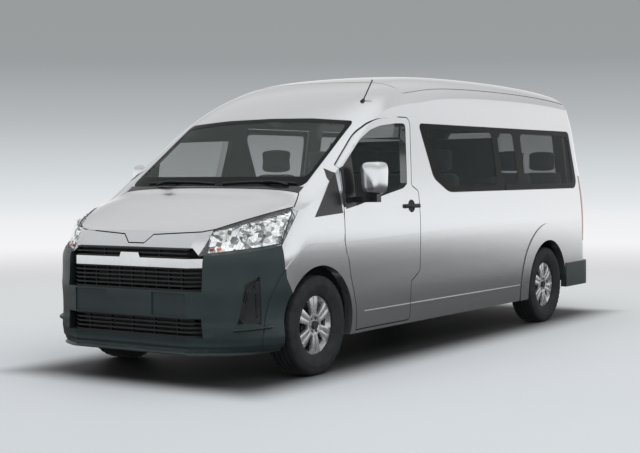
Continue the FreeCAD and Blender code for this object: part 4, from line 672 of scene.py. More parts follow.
def makeWheels():
    setup = wheelSetup
    forms = (("wheel", makeWheelMesh(), "wheel_alloy"), ("tyre", makeTyreMesh(), "tyre_rubber"))
    for end, centre in (("front", frontAxle), ("rear", rearAxle)):
        for side, way in bothSides:
            place = Vector((way * setup["track"][end], centre.y, centre.z))
            turn = Matrix.Rotation(0 if way > 0 else math.pi, 4, "Z")
            spin = Matrix.Rotation(math.radians(setup["turned"][end]), 4, "X")
            for kind, mesh, slot in forms:
                piece = addObject(f"{kind}Form_{end}_{side}", mesh)
                piece.matrix_world = Matrix.Translation(place) @ turn @ spin
                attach(piece, f"wheel_{end}_{side}")
                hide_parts(f"{kind}_{end}_{side}")


makeWheels()
print("wheels made")

borderSetup = {
    "proud": 0.8, "edge": 2.0, "innerRadius": 55,
    "window": {"front": 1527, "length": 3050, "bottom": 1245, "rise": 561},
    # shares of the window's length and rise, and the corner's radius as a share of the length
    "windowCorners": [(0.0, 1.0, 0.012), (0.045, 0.22, 0.04), (0.122, 0.012, 0.09),
                      (1.0, 0.012, 0.03), (0.985, 1.0, 0.018)],
    # ends of each pane, and front, rear and lean of its clear parts, in metres
    "panes": {
        "left": [(None, None, [(-0.44, 0.7545, 0.28), (0.9085, 1.1815, 0.0),
                               (1.3405, 2.44, 0.0)])],
        "right": [(None, 0.531, [(-0.44, 0.47, 0.28)]),
                  (0.673, None, [(0.74, 1.1815, 0.0), (1.3405, 2.44, 0.0)])],
    },
    "clearHeights": (1.301, 1.757),
    "screenCorners": [(806, 1322, 40), (778, 1805.6, 40), (403, 1834, 0), (0, 1842, 0),
                      (-403, 1834, 0), (-778, 1805.6, 40), (-806, 1322, 40)],
    "screenClear": {"width": 0.958, "sill": 1.392, "brow": 0.028},
}


def fillBetween(build, outer, inners, project, longest=0.06):
    # sheet between an outline and its windows, its edges cut shorter than longest, laid on a pane
    edges = []
    for loop in [outer] + inners:
        ring = [build.verts.new((0, p.x, p.y)) for p in loop]
        edges += [build.edges.new((ring[i], ring[(i + 1) % len(ring)]))
                  for i in range(len(ring))]
    bmesh.ops.triangle_fill(build, use_beauty=True, edges=edges, normal=(1, 0, 0))
    for _ in range(3 if longest > 0.05 else 6):
        wide = [e for e in build.edges if e.calc_length() > longest]
        bmesh.ops.subdivide_edges(build, edges=wide, cuts=1)
        bmesh.ops.triangulate(build, faces=[f for f in build.faces if len(f.verts) > 3])
    for vert in build.verts:
        vert.co = project(vert.co.y, vert.co.z)


def sideProjector(node, way, liftMm):
    def project(y, z):
        place, normal = onSurface(node, (way * castFrom["side"], y, z), (-way, 0, 0))
        return place + normal * liftMm * mm
    return project


def endProjector(node, way, liftMm):  # way is -1 for the front, 1 for the rear
    def project(x, z):
        place, normal = onSurface(node, (x, way * castFrom["end"], z), (0, -way, 0))
        return place + normal * liftMm * mm
    return project


def windowLoop(trim, front, rear):
    # outline of the side window in metres, cut at a place along the vehicle where one is given
    w = borderSetup["window"]
    corners = [(behindAxle(w["front"] + a * w["length"]), (w["bottom"] + b * w["rise"]) * mm,
                c * w["length"] * mm) for a, b, c in borderSetup["windowCorners"]]
    loop = insetLoop(roundedLoop(corners, 0.03), trim * mm)
    closest = 0.004
    clipped = []
    for point in loop:
        y = point.x
        if front is not None:
            y = max(y, front)
        if rear is not None:
            y = min(y, rear)
        if not clipped or (Vector((y, point.y)) - clipped[-1]).length > closest:
            clipped.append(Vector((y, point.y)))
    if (clipped[0] - clipped[-1]).length < closest:
        clipped.pop()
    return clipped


def clearPane(front, rear, lean):
    # the see-through part of a pane; its front edge may lean
    low, high = borderSetup["clearHeights"]
    r = borderSetup["innerRadius"] * mm
    return roundedLoop([(front, high, r), (front + lean, low, r * 1.6), (rear, low, r),
                        (rear, high, r)], 0.03)


def makeSideBorders():
    setup = borderSetup
    for side, way in bothSides:
        for i, (front, rear, clear) in enumerate(setup["panes"][side]):
            build = bmesh.new()
            fillBetween(build, windowLoop(setup["edge"], front, rear),
                        [clearPane(*part) for part in clear],
                        sideProjector("side_windows", way, setup["proud"]))
            addPiece(f"windowBorder_{side}_{i}", build, [ceramicBlack], "body", 60)


def makeScreenBorder():
    setup = borderSetup
    corners = [(x * mm, z * mm, r * mm) for x, z, r in setup["screenCorners"]]
    inner = setup["screenClear"]
    clear = [(x * inner["width"], inner["sill"] if z < inner["sill"] else z - inner["brow"], r)
             for x, z, r in corners]
    build = bmesh.new()
    fillBetween(build, insetLoop(roundedLoop(corners, 0.03), setup["edge"] * mm),
                [roundedLoop(clear, 0.03)], endProjector("windscreen", -1, setup["proud"]))
    addPiece("screenBorder", build, [ceramicBlack], "body", 60)


makeSideBorders()
makeScreenBorder()
print("borders of the glass made")

handleSetup = {
    "cab": (1272, 1156), "slider": (1625, 1156),  # mm behind the front axle, and height
    "grip": 236, "gripHeight": 34, "thick": 8,
    # share of the cup's radius and how far that ring stands off
    "cup": 50, "cupRings": [(1, 0.0), (0.97, 3.0), (0.86, 3.2), (0.72, 0.7)], "cupMiddle": 0.6,
    # section of the grip, in shares of half its height and of its thickness
    "section": [(-1, -1.2), (-1.0, 0.3), (-0.75, 0.8), (0, 1.0), (0.75, 0.8), (1.0, 0.3),
                (1, -1.2), (0, -0.8)],
    "stand": 7, "bow": 19,  # the grip stands off at its ends, and more by its bow in the middle
}


def addHandle(name, node, way, middle, body):
    # round cup, and a bowed grip that stands off over it
    setup = handleSetup
    start = (way * castFrom["side"], behindAxle(middle[0]), middle[1] * mm)
    face, normal = onSurface(node, start, (-way, 0, 0))
    up = Vector((0, 0, 1))
    up = (up - normal * up.dot(normal)).normalized()
    along = up.cross(normal) * way
    build = bmesh.new()
    cup = setup["cup"] * mm
    rings = [(cup * share, lift) for share, lift in setup["cupRings"]]
    rings.append((0.001, setup["cupMiddle"]))
    ways = [along * math.cos(a) + up * math.sin(a) for a in (math.pi * k / 16 for k in range(32))]
    joinRows(build, [[build.verts.new(face + out * radius + normal * lift * mm) for out in ways]
                     for radius, lift in rings])
    half, tall = setup["grip"] / 2 * mm, setup["gripHeight"] / 2 * mm
    thick = setup["thick"] * mm
    rows = []
    for i in range(17):
        t = i / 8 - 1
        lift = (setup["stand"] + setup["bow"] * math.cos(t * math.pi / 2) ** 0.7) * mm
        height = tall * (0.72 + 0.28 * abs(t)) * (0.55 if abs(t) > 0.99 else 1)
        centre = face + along * half * t
        rows.append([build.verts.new(centre + up * height * a + normal * (lift + thick * b))
                     for a, b in setup["section"]])
    joinRows(build, rows)
    build.faces.new(rows[0])
    build.faces.new(rows[-1][::-1])
    for t in (-0.9, 0.9):  # feet of the grip
        foot = face + along * half * t
        corners = [foot + along * half * 0.09 * a + up * tall * 0.8 * b - normal * 0.001
                   for a, b in ((-1, -1), (1, -1), (1, 1), (-1, 1))]
        addSlab(build, corners, normal * 0.014)
    addPiece(name, build, [mattBlack], body, 40)


def makeHandles():
    for side, way in bothSides:
        addHandle(f"doorHandle_{side}", f"door_panel_{side}", way, handleSetup["cab"],
                  f"door_{side}")
    addHandle("sliderHandle", "sliding_door", -1, handleSetup["slider"], "body")


makeHandles()

wiperSetup = {
    "left": (0.10, 0.74), "right": (-0.62, 0.02),  # ends of the blades on X, metres
    "sill": 1.322, "rise": 0.016, "bow": 0.012, "lift": 9, "blade": 0.006,
    "pivotIn": {"left": -0.06, "right": 0.10}, "pivotHeight": 1.328,
    "armBow": (0, -0.010, 0.014), "arm": 0.011, "armTaper": 0.0006,
}


def makeWipers():
    setup = wiperSetup
    project = endProjector("windscreen", -1, setup["lift"])
    for side, _ in bothSides:
        start, end = setup[side]
        build = bmesh.new()
        blade = []
        for i in range(17):
            x = start + (end - start) * i / 16
            z = setup["sill"] + setup["rise"] + setup["bow"] * math.sin(math.pi * i / 16)
            blade.append(project(x, z))
        addTube(build, blade, setup["blade"])
        pivotX = (end if side == "left" else start) + setup["pivotIn"][side]
        pivot = project(pivotX, setup["pivotHeight"])
        reach = blade[8] - pivot
        arm = [pivot + reach * t + Vector(setup["armBow"]) * math.sin(math.pi * min(t * 1.1, 1))
               for t in (k / 8 for k in range(9))]
        addTube(build, arm, [setup["arm"] - setup["armTaper"] * k for k in range(9)], flat=0.6)
        addPiece(f"wiper_{side}", build, [mattBlack], "body", 40)


makeWipers()
print("door furniture and wipers made")


reflectorSetup = {
    # painted light: the tones paint highlights and shade on the facets, and the lightest facets
    # carry a painted glow of the given strength
    "facetMm": 30, "roughness": 0.08, "glow": 0.3,
    "tones": [(0.28, "#6c7274"), (0.42, "#c2c7c9"), (0.62, "#f4f6f7")],
    "paintedGlints": [(0.45, "#101112"), (0.7, "#f4f8fa")],
}


def makeReflector():
    # Vacuum-metallised moulding with mirror facets, painted light and dark by turns: painted
    # highlights and painted shade. The light ones glow a little, a painted glow that stands in for
    # light bouncing between lens and bowl.
    setup = reflectorSetup
    material, tree, shader, place = startMaterial("metallisedReflectorPaintedLight", **{
        "Metallic": 1.0, "Roughness": setup["roughness"], "Emission Strength": setup["glow"],
    })
    facets = addNode(tree, "ShaderNodeTexVoronoi", {"Scale": perSize(setup["facetMm"])},
                     {"Vector": place})
    ramp = addNode(tree, "ShaderNodeValToRGB", links={"Fac": facets.outputs["Color"]})
    setRamp(ramp, [(share, linear(tone)) for share, tone in setup["tones"]])
    # painted glint: the lightest facets glow, though the reflector is no lamp
    paintedGlint = addNode(tree, "ShaderNodeValToRGB", links={"Fac": facets.outputs["Color"]})
    setRamp(paintedGlint, [(share, linear(tone)) for share, tone in setup["paintedGlints"]])
    bump = addNode(tree, "ShaderNodeBump", {"Strength": 0.6, "Distance": 0.002},
                   {"Height": facets.outputs["Distance"]})
    tree.links.new(ramp.outputs["Color"], shader.inputs["Base Color"])
    tree.links.new(paintedGlint.outputs["Color"], shader.inputs["Emission Color"])
    tree.links.new(bump.outputs["Normal"], shader.inputs["Normal"])
    return material


reflector = makeReflector()
# Silvered glass of the mirrors, lenses dyed in the mass, frosted bulbs, and sealant in the seams
# that is partly painted shade of the gap.
mirrorSilver = makeMetal("silveredMirrorGlass", "#cfd6d8", 0.02, 400)
amberLens = makeLens("amberPolycarbonate", "#d8761a", 0.85, 8)
bulbGlass = makeLens("frostedBulbGlass", "#f2f1ea", 0.8, 9)
# painted shade: the seam colour is sealant darkened further for the shade in the gap
seamBlack = makePlastic("shadowedSealant", "#1d1f20", "#18191a", 0.8, 3.0, 0.05)

cornerTurn = 0.8495  # radians from straight ahead to the way the front corners face


def cornerWays(way):
    inwards = Vector((-way * math.sin(cornerTurn), math.cos(cornerTurn), 0.0))
    sideways = Vector((way * math.cos(cornerTurn), math.sin(cornerTurn), 0.0))
    return inwards, sideways


def onCorner(node, way, along, height, liftMm):
    # place on a CAD piece looked at squarely from its front corner, lifted off it
    inwards, sideways = cornerWays(way)
    start = sideways * along - inwards * castFrom["end"]
    start.z = height
    place, normal = onSurface(node, start, inwards)
    return place + normal * liftMm * mm


lampSetup = {
    # ends of the lower and upper edge: place along the slanting front corner and height, in metres
    "low": ((-1.762, 0.889), (-1.236, 0.944)), "high": ((-1.701, 1.036), (-1.128, 1.176)),
    "depth": 15, "steps": (110, 44), "wall": 1.5,
    "bowls": [(0.17, 0.62, 40, 40), (0.53, 0.5, 88, 62)],  # shares along and up, radius, depth
    "flutes": 14, "flute": 0.05, "lip": 4,
    "ridge": 1.6, "lampRibs": 22, "barsFrom": 0.82, "bars": 7, "bar": 7,
    "bulb": [0.010, 0.010, 0.004], "rim": 4.5, "rimDepth": 8,
    # where the two small lamps begin, their pitch and height, as shares
    "small": {"Marker": 0.045, "Indicator": 0.125}, "pitch": 0.012, "smallHeight": 0.16,
    "smallRadii": [0.006, 0.013, 0.013, 0.013, 0.013, 0.006],
}


def makeLampInsides():
    # reflector pressed in one sheet behind the lens, with fluted bowls, a ladder of bars at the
    # outer end, bulbs, a red and an amber lamp at the inner foot and a black rim round it all
    setup = lampSetup
    across, tall = setup["steps"]
    ends = {edge: [Vector(end) for end in setup[edge]] for edge in ("low", "high")}
    smallLenses = {"Marker": redLens, "Indicator": amberLens}
    for side, way in bothSides:
        build = bmesh.new()
        inwards, sideways = cornerWays(way)

        def behind(u, v, depthMm):
            low, high = (first.lerp(last, u) for first, last in (ends["low"], ends["high"]))
            here = low.lerp(high, v)
            return onCorner("headlamps", way, here.x, here.y, -depthMm)

        flat = [[behind(i / across, j / tall, setup["depth"]) for j in range(tall + 1)]
                for i in range(across + 1)]
        hearts = [(behind(u, v, setup["depth"]), radius * mm, depth)
                  for u, v, radius, depth in setup["bowls"]]
        rows = []
        for i in range(across + 1):
            row = []
            for j in range(tall + 1):
                point, u, v = flat[i][j].copy(), i / across, j / tall
                sunk = 0.0
                for heart, radius, depth in hearts:
                    off = point - heart
                    gap = off.length / radius
                    if gap < 1:
                        angle = math.atan2(off.z, off.dot(sideways))
                        flute = 1 + setup["flute"] * math.sin(angle * setup["flutes"])
                        sunk = max(sunk, depth * (1 - gap * gap) ** 0.55 * flute + setup["lip"])
                if sunk == 0.0:
                    sunk = setup["ridge"] * (1 + math.sin(u * setup["lampRibs"] * 2 * math.pi))
                    if u > setup["barsFrom"]:
                        onBar = math.sin(v * setup["bars"] * 2 * math.pi) > 0
                        sunk = setup["bar"] if onBar else 0
                point += inwards * sunk * mm
                row.append(build.verts.new(point))
            rows.append(row)
        for a, b in zip(rows, rows[1:]):
            for j in range(tall):
                build.faces.new((a[j], b[j], b[j + 1], a[j + 1]))
        sheet = addPiece(f"lampReflector_{side}", build, [reflector], "body", 50)
        addWall(sheet, setup["wall"])
        if side == "left":  # one CAD piece stands for both lamps
            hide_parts("lamp_housings")
        build = bmesh.new()
        for heart, _, depth in hearts:
            root, tip = heart + inwards * depth * mm, heart + inwards * depth * 0.35 * mm
            addTube(build, [root, tip, tip.lerp(root, -0.15)], setup["bulb"], 14)
        addPiece(f"lampBulbs_{side}", build, [bulbGlass], "body", 50)
        build = bmesh.new()
        edge = [(k / 24, 0.0) for k in range(25)] + [(1.0, k / 8) for k in range(1, 9)]
        edge += [(1 - k / 24, 1.0) for k in range(1, 25)] + [(0.0, 1 - k / 8) for k in range(1, 9)]
        addTube(build, [behind(u, v, setup["rimDepth"]) for u, v in edge], setup["rim"] * mm)
        addPiece(f"lampRim_{side}", build, [mattBlack], "body", 50)
        for name, first in setup["small"].items():
            build = bmesh.new()
            strip = [behind(first + setup["pitch"] * k, setup["smallHeight"], setup["rimDepth"])
                     for k in range(6)]
            addTube(build, strip, setup["smallRadii"], 10, flat=0.7)
            addPiece(f"lamp{name}_{side}", build, [smallLenses[name]], "body", 50)


easeSetup = {
    "foot": 0.18, "top": 0.68,  # metres
    # height, and how far the lower skin is drawn in (+) or let out (-) at that height, in mm
    "drawn": [(180, 42), (220, 40), (240, 11), (262, -14), (280, -28), (320, -29), (360, -14),
              (400, 0), (440, 13), (480, 17), (520, 17), (560, 13), (600, 6), (640, 0), (680, 0)],
    "reach": 45, "halfWidth": 0.96,
}


def easeBumper():
    # draws the lower skin of the bumper to an even upright face
    setup = easeSetup
    tree = bpy.data.node_groups.new("evenLowerSkin", "GeometryNodeTree")
    tree.interface.new_socket("Geometry", in_out="INPUT", socket_type="NodeSocketGeometry")
    tree.interface.new_socket("Geometry", in_out="OUTPUT", socket_type="NodeSocketGeometry")
    entry, leave = addNode(tree, "NodeGroupInput"), addNode(tree, "NodeGroupOutput")
    place = addNode(tree, "GeometryNodeInputPosition").outputs[0]
    apart = addNode(tree, "ShaderNodeSeparateXYZ", links={0: place})
    share = addNode(tree, "ShaderNodeMapRange", {
        "From Min": setup["foot"], "From Max": setup["top"],
    }, {"Value": apart.outputs["Z"]})
    curve = addNode(tree, "ShaderNodeFloatCurve", links={"Value": share.outputs["Result"]})
    points = curve.mapping.curves[0].points
    low, high = setup["foot"], setup["top"]
    spots = [((height * mm - low) / (high - low), 0.5 + drawn / setup["reach"] / 2)
             for height, drawn in setup["drawn"]]
    points[0].location = spots[0]
    for x, y in spots[1:-1]:
        points.new(x, y)
    points[len(points) - 1].location = spots[-1]
    curve.mapping.update()
    drawn = addNode(tree, "ShaderNodeMapRange", {
        "To Min": -setup["reach"] * mm, "To Max": setup["reach"] * mm,
    }, {"Value": curve.outputs["Value"]})
    # straight back in the middle, turning outwards to the ends with the third power of the width
    outer = addNode(tree, "ShaderNodeMath", {1: setup["halfWidth"]}, {0: apart.outputs["X"]},
                    operation="DIVIDE")
    cubed = addNode(tree, "ShaderNodeMath", {1: 3.0}, {0: outer.outputs[0]}, operation="POWER")
    square = addNode(tree, "ShaderNodeMath", links={0: cubed.outputs[0], 1: cubed.outputs[0]},
                     operation="MULTIPLY")
    rest = addNode(tree, "ShaderNodeMath", {0: 1.0}, {1: square.outputs[0]}, operation="SUBTRACT")
    rest.use_clamp = True
    ahead = addNode(tree, "ShaderNodeMath", links={0: rest.outputs[0]}, operation="SQRT")
    back = addNode(tree, "ShaderNodeMath", {1: -1.0}, {0: cubed.outputs[0]}, operation="MULTIPLY")
    way = addNode(tree, "ShaderNodeCombineXYZ", links={"X": back.outputs[0], "Y": ahead.outputs[0]})
    offset = addNode(tree, "ShaderNodeVectorMath", links={
        0: way.outputs[0], "Scale": drawn.outputs["Result"],
    }, operation="SCALE")
    move = addNode(tree, "GeometryNodeSetPosition", links={
        "Geometry": entry.outputs[0], "Offset": offset.outputs[0],
    })
    tree.links.new(move.outputs[0], leave.inputs[0])
    mesh = nodes["front_bumper"].data.copy()
    mesh.name = "frontBumperSkin"
    skin = addObject("frontBumperSkin", mesh)
    skin.matrix_world = nodes["front_bumper"].matrix_world.copy()
    even = skin.modifiers.new("evenLowerSkin", "NODES")
    even.node_group = tree
    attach(skin, "body")
    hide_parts("front_bumper")
    bpy.context.view_layer.update()
    keepSurface("front_bumper", skin)


ventSetup = {
    # corners along the slanting front corner and in height, in metres
    "inlay": [(-1.506, 0.672, 0.012), (-1.409, 0.722, 0.02), (-1.399, 0.420, 0.008),
              (-1.562, 0.422, 0.008)],
    "fins": [0.012, 0.026, 0.040], "finRadius": 3.2, "finFoot": 0.012,
    "ledge": [(-1.612, 0.366), (-1.590, 0.392), (-1.31, 0.404), (-1.292, 0.384)], "ledgeOut": 24,
}


def makeVents():
    # blanked vent at each corner of the bumper: dark inlay, nested fins and the ledge at its foot
    setup = ventSetup
    (t0, z0, _), (t1, z1, _), (t2, z2, _), (t3, z3, _) = setup["inlay"]
    (s0, h0), (s1, h1), (s2, h2), (s3, h3) = setup["ledge"]
    for side, way in bothSides:
        inwards, _ = cornerWays(way)

        def at(t, z, liftMm):
            return onCorner("front_bumper", way, t, z, liftMm)

        build = bmesh.new()
        fillBetween(build, roundedLoop(setup["inlay"], 0.03), [], lambda t, z: at(t, z, 0.8))
        addPiece(f"ventInlay_{side}", build, [mattBlack], "body", 60)
        build = bmesh.new()
        for inset in setup["fins"]:
            line = [(t3 + inset * 0.8, z3 + setup["finFoot"]), (t0 + inset, z0 - inset),
                    (t1 - inset * 0.7, z1 - inset * 1.2), (t2 - inset * 0.7, z2 + setup["finFoot"])]
            path = []
            for (ta, za), (tb, zb) in zip(line, line[1:]):
                count = max(2, int(abs(zb - za) / 0.03) + 2)
                path += [at(ta + (tb - ta) * k / count, za + (zb - za) * k / count, 2.0)
                         for k in range(count)]
            addTube(build, path, setup["finRadius"] * mm, 6)
        addPiece(f"ventFins_{side}", build, [glossBlack], "body", 50)
        build = bmesh.new()
        rows = []
        for k in range(25):
            s = k / 24
            foot = at(s0 + (s3 - s0) * s, h0 + (h3 - h0) * s, -2)
            crest = at(s1 + (s2 - s1) * s, h1 + (h2 - h1) * s, -2)
            out = setup["ledgeOut"] * min(1, 8 * s, 8 * (1 - s)) + 1
            rows.append([build.verts.new(p) for p in (
                foot, foot.lerp(crest, 0.55) - inwards * out * mm, crest - inwards * out * mm,
                crest)])
        joinRows(build, rows, closed=False)
        addPiece(f"ventLedge_{side}", build, [bumperPlastic], "body", 35)


mirrorSetup = {
    # share of the depth, share of the half width; the last rings are the black lip
    "rings": [(0.0, 0.3), (0.008, 0.55), (0.03, 0.76), (0.1, 0.9), (0.3, 0.975), (0.6, 1.0),
              (0.93, 1.0), (1.0, 0.975), (1.0, 0.93), (0.94, 0.9)],
    "lipFrom": 7, "power": 4.2, "taper": 0.12, "segments": 64,
}


def makeMirrors():
    # housing drawn in to a rounded front, silvered glass recessed in its rear
    setup = mirrorSetup
    power, count, lip = setup["power"], setup["segments"], setup["lipFrom"]
    for side, _ in bothSides:
        node = f"mirror_housing_{side}"
        low, high = (Vector(c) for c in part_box(node))
        middle, half = (low + high) / 2, (high - low) / 2
        build = bmesh.new()
        rows = []
        for share, scale in setup["rings"]:
            row = []
            for k in range(count):
                angle = 2 * math.pi * k / count
                c, s = math.cos(angle), math.sin(angle)
                bulge = (abs(c) ** power + abs(s) ** power) ** (-1 / power)
                up = s * bulge * scale
                width = c * bulge * scale * (1 - setup["taper"] * (1 - up) / 2)
                row.append(build.verts.new((
                    middle.x + half.x * width, low.y + (high.y - low.y) * share,
                    middle.z + half.z * up)))
            rows.append(row)
        joinRows(build, rows[:lip + 1])
        joinRows(build, rows[lip:], material=1)
        build.faces.new(rows[0][::-1])
        build.faces.new(rows[-1]).material_index = 2
        piece = addPiece(f"mirrorHousing_{side}", build, [silverPaint, mattBlack, mirrorSilver],
                         f"door_{side}", 50)
        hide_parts(node)


def addStrip(name, node, starts, way, width, lift, material, body):
    # narrow band laid on a CAD piece along points that are cast onto it
    build = bmesh.new()
    path = [onSurface(node, start, way) for start in starts]
    rows = []
    for i, (place, normal) in enumerate(path):
        ahead = (path[min(i + 1, len(path) - 1)][0] - path[max(i - 1, 0)][0]).normalized()
        across = ahead.cross(normal).normalized()
        rows.append([build.verts.new(place + across * width * mm * a + normal * lift * mm * b)
                     for a, b in ((-0.5, -0.5), (-0.4, 1.0), (0.4, 1.0), (0.5, -0.5))])
    joinRows(build, rows, closed=False)
    return addPiece(name, build, [material], body, 50)


pillarSetup = {
    # two points of the edge between paint and black at the foot of the pillar, the place from which
    # that edge is straight, and a place on its painted side
    "foot": (0.95, -2.0805, 1.125), "head": (0.93, -1.7675, 1.474),
    "seenFrom": cameraSetup["place"], "painted": (0.95, -2.4, 1.3),
    "cornerAbove": 1.27,  # the trim is painted above this height, ahead of the edge
    "stripAbove": 1.164, "stripBehind": -1.806,  # the wing is black above and behind these
}


def splitPiece(name, node, finishes, chosen, cuts):
    # copy of a CAD piece with edges cut in, whose chosen faces take the second finish
    mesh = nodes[node].data.copy()
    mesh.transform(nodes[node].matrix_world)
    build = bmesh.new()
    build.from_mesh(mesh)
    for point, normal in cuts:
        bmesh.ops.bisect_plane(build, geom=build.verts[:] + build.edges[:] + build.faces[:],
                               plane_co=point, plane_no=normal, dist=1e-6)
    for face in build.faces:
        face.material_index = 1 if chosen(face.calc_center_median()) else 0
    build.to_mesh(mesh)
    build.free()
    mesh.materials.clear()
    for finish in finishes:
        mesh.materials.append(finish)
    piece = addObject(name, mesh)
    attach(piece, "body")
    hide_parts(node)


def makePillarFoot():
    # the black corner trim ends on one straight line, and the strip behind it is black as well
    setup = pillarSetup
    planes = {}
    for _, way in bothSides:
        foot, head, eye, painted = (Vector((way * p[0], p[1], p[2])) for p in (
            setup["foot"], setup["head"], setup["seenFrom"], setup["painted"]))
        normal = (foot - eye).cross(head - eye).normalized()
        if (painted - eye).dot(normal) < 0:
            normal = -normal
        planes[way] = (eye, normal)

    def ahead(point):  # positive on the painted side of the edge
        eye, normal = planes[1 if point.x > 0 else -1]
        return (point - eye).dot(normal)

    def paintedCorner(point):
        return ahead(point) > 0 and point.z > setup["cornerAbove"]

    def blackStrip(point):
        return (ahead(point) < 0 and point.z > setup["stripAbove"]
                and point.y > setup["stripBehind"])

    def level(height):
        return Vector((0, 0, height)), Vector((0, 0, 1))

    splitPiece("cornerTrims", "quarter_trims", [glossBlack, silverPaint],
               paintedCorner, list(planes.values()) + [level(setup["cornerAbove"])])
    behind = (Vector((0, setup["stripBehind"], 0)), Vector((0, 1, 0)))
    for side, way in bothSides:
        splitPiece(f"frontWing_{side}", f"front_wing_{side}", [silverPaint, mattBlack],
                   blackStrip, [planes[way], level(setup["stripAbove"]), behind])


trimSetup = {
    "frameFoil": [(300, 1168), (358, 1172), (358, 1466), (300, 1448)],
    "dripEdge": {"x": 0.80, "along": range(1190, 4560, 60), "width": 9, "lift": 4},
    "capSeam": {"y": 1420, "across": range(-760, 761, 40), "width": 7, "lift": 0.6},
}


def makeTrims():
    # black foil on the door frame ahead of its glass, the seam of the roof's front cap, drip edges
    setup, top, down = trimSetup, castFrom["top"], (0, 0, -1)
    drip, seam = setup["dripEdge"], setup["capSeam"]
    for side, way in bothSides:
        build = bmesh.new()
        corners = [(behindAxle(y), z * mm, 0.006) for y, z in setup["frameFoil"]]
        fillBetween(build, roundedLoop(corners), [],
                    sideProjector(f"door_panel_{side}", way, 1.0), 0.02)
        addPiece(f"frameFoil_{side}", build, [mattBlack], f"door_{side}", 60)
        edge = [(way * drip["x"], behindAxle(y), top) for y in drip["along"]]
        addStrip(f"dripEdge_{side}", "roof_panel", edge, down, drip["width"], drip["lift"],
                 silverPaint, "body")
    # the cap seam is a dark strip: sealant, and painted shade in the gap between roof and cap
    line = [(x * mm, behindAxle(seam["y"]), top) for x in seam["across"]]
    addStrip("capSeam", "roof_panel", line, down, seam["width"], seam["lift"], seamBlack, "body")


seatSetup = {
    "cab": [(-0.43, -0.567), (0.43, -0.567)],  # middle across and rear edge of the back
    "rows": [(x, y) for y in (0.373, 1.093, 1.813, 2.533) for x in (-0.6, 0.11, 0.6)],
    # low and high corner from there, how far the top leans back, share by which the sides pull in
    "cushion": ((-0.225, -0.719, 0.800), (0.225, -0.212, 0.930), 0.0, 0.04),
    "back": ((-0.225, -0.218, 0.786), (0.225, -0.112, 1.420), 0.112, 0.07),
    "head": ((-0.135, -0.110, 1.424), (0.135, -0.010, 1.612), 0.006, 0.05),
    "around": 64, "upwards": 32, "squareUp": 0.32, "squareAcross": 0.28,
    "voxel": 11, "swell": 5, "cap": 9, "pressure": 4.0, "frames": 20,
    # welt lines in metres from the middle: along the sides, and across; the head rest has none
    "seams": {"cushion": (0.135, 0.19), "back": (0.13, 0.2), "head": (9, 9)},
    "seamDepth": 5, "seamWidth": 13,
}


def bent(value, power):
    return math.copysign(abs(value) ** power, value)


def padShape(kind):
    # rounded block, a little smaller than the pad that it swells to
    setup = seatSetup
    low, high, lean, pull = setup[kind]
    low, high = Vector(low), Vector(high)
    middle, half = (low + high) / 2, (high - low) / 2 - Vector((1, 1, 1)) * setup["swell"] * mm
    up, across = setup["squareUp"], setup["squareAcross"]
    build = bmesh.new()
    rows = []
    for i in range(1, setup["upwards"]):
        a = math.pi * (i / setup["upwards"] - 0.5)
        row = []
        for k in range(setup["around"]):
            b = 2 * math.pi * k / setup["around"]
            x = bent(math.cos(a), up) * bent(math.cos(b), across)
            y = bent(math.cos(a), up) * bent(math.sin(b), across)
            z = bent(math.sin(a), up)
            narrow = 1 - pull * (1 - abs(y if kind == "cushion" else z))
            row.append(build.verts.new((middle.x + half.x * x * narrow,
                                        middle.y + half.y * y + lean * (z + 1) / 2,
                                        middle.z + half.z * z)))
        rows.append(row)
    joinRows(build, rows)
    build.faces.new(rows[0][::-1])
    build.faces.new(rows[-1])
    return build, middle


def makePad(kind):
    # blown up as cloth over foam, then drawn in along its welt seams
    setup = seatSetup
    build, middle = padShape(kind)
    mesh = bpy.data.meshes.new(kind)
    build.to_mesh(mesh)
    build.free()
    pad = addObject(kind, mesh)
    remesh = pad.modifiers.new("voxels", "REMESH")
    remesh.mode = "VOXEL"
    remesh.voxel_size = setup["voxel"] * mm

    def baked():
        bpy.context.view_layer.update()
        view = bpy.context.evaluated_depsgraph_get()
        return bpy.data.meshes.new_from_object(pad.evaluated_get(view))

    even = baked()
    pad.modifiers.clear()
    pad.data = even
    cloth = pad.modifiers.new("cloth", "CLOTH")
    cloth.settings.use_pressure = True
    cloth.settings.uniform_pressure_force = setup["pressure"]
    cloth.settings.effector_weights.gravity = 0
    cloth.settings.quality = 5
    cloth.point_cache.frame_start, cloth.point_cache.frame_end = 1, setup["frames"]
    for step in range(1, setup["frames"] + 1):
        scene.frame_set(step)
    blown = baked()
    pad.modifiers.clear()
    for soft, firm in zip(blown.vertices, even.vertices):  # no point swells past the cap
        move = soft.co - firm.co
        if move.length > setup["cap"] * mm:
            soft.co = firm.co + move.normalized() * setup["cap"] * mm
    pad.data = even = blown
    scene.frame_set(1)
    along, across = setup["seams"][kind]
    normals = [v.normal.copy() for v in even.vertices]
    for vert, normal in zip(even.vertices, normals):
        gaps = [abs(abs(vert.co.x) - along)]
        far = vert.co.z - middle.z if kind == "back" else vert.co.y - middle.y
        if abs(vert.co.x) < along:
            gaps.append(abs(far - across) if kind == "back" else abs(far + across))
        gap = min(gaps) / (setup["seamWidth"] * mm)
        if gap < 1:
            vert.co -= normal * setup["seamDepth"] * mm * math.cos(gap * math.pi / 2) ** 2
    even.materials.clear()
    even.materials.append(seatCloth)
    even.shade_smooth()
    bpy.data.objects.remove(pad)
    return even


def makeSeats():
    for kind in ("cushion", "back", "head"):
        mesh = makePad(kind)
        for group in ("cab", "rows"):
            for i, (x, y) in enumerate(seatSetup[group]):
                piece = addObject(f"{kind}_{group}_{i}", mesh)
                piece.location = (x, y, 0.0)
                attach(piece, "body")
                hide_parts("cab_seats" if group == "cab" else "row_seats")
        print("seat pads made:", kind)


makeSeats()

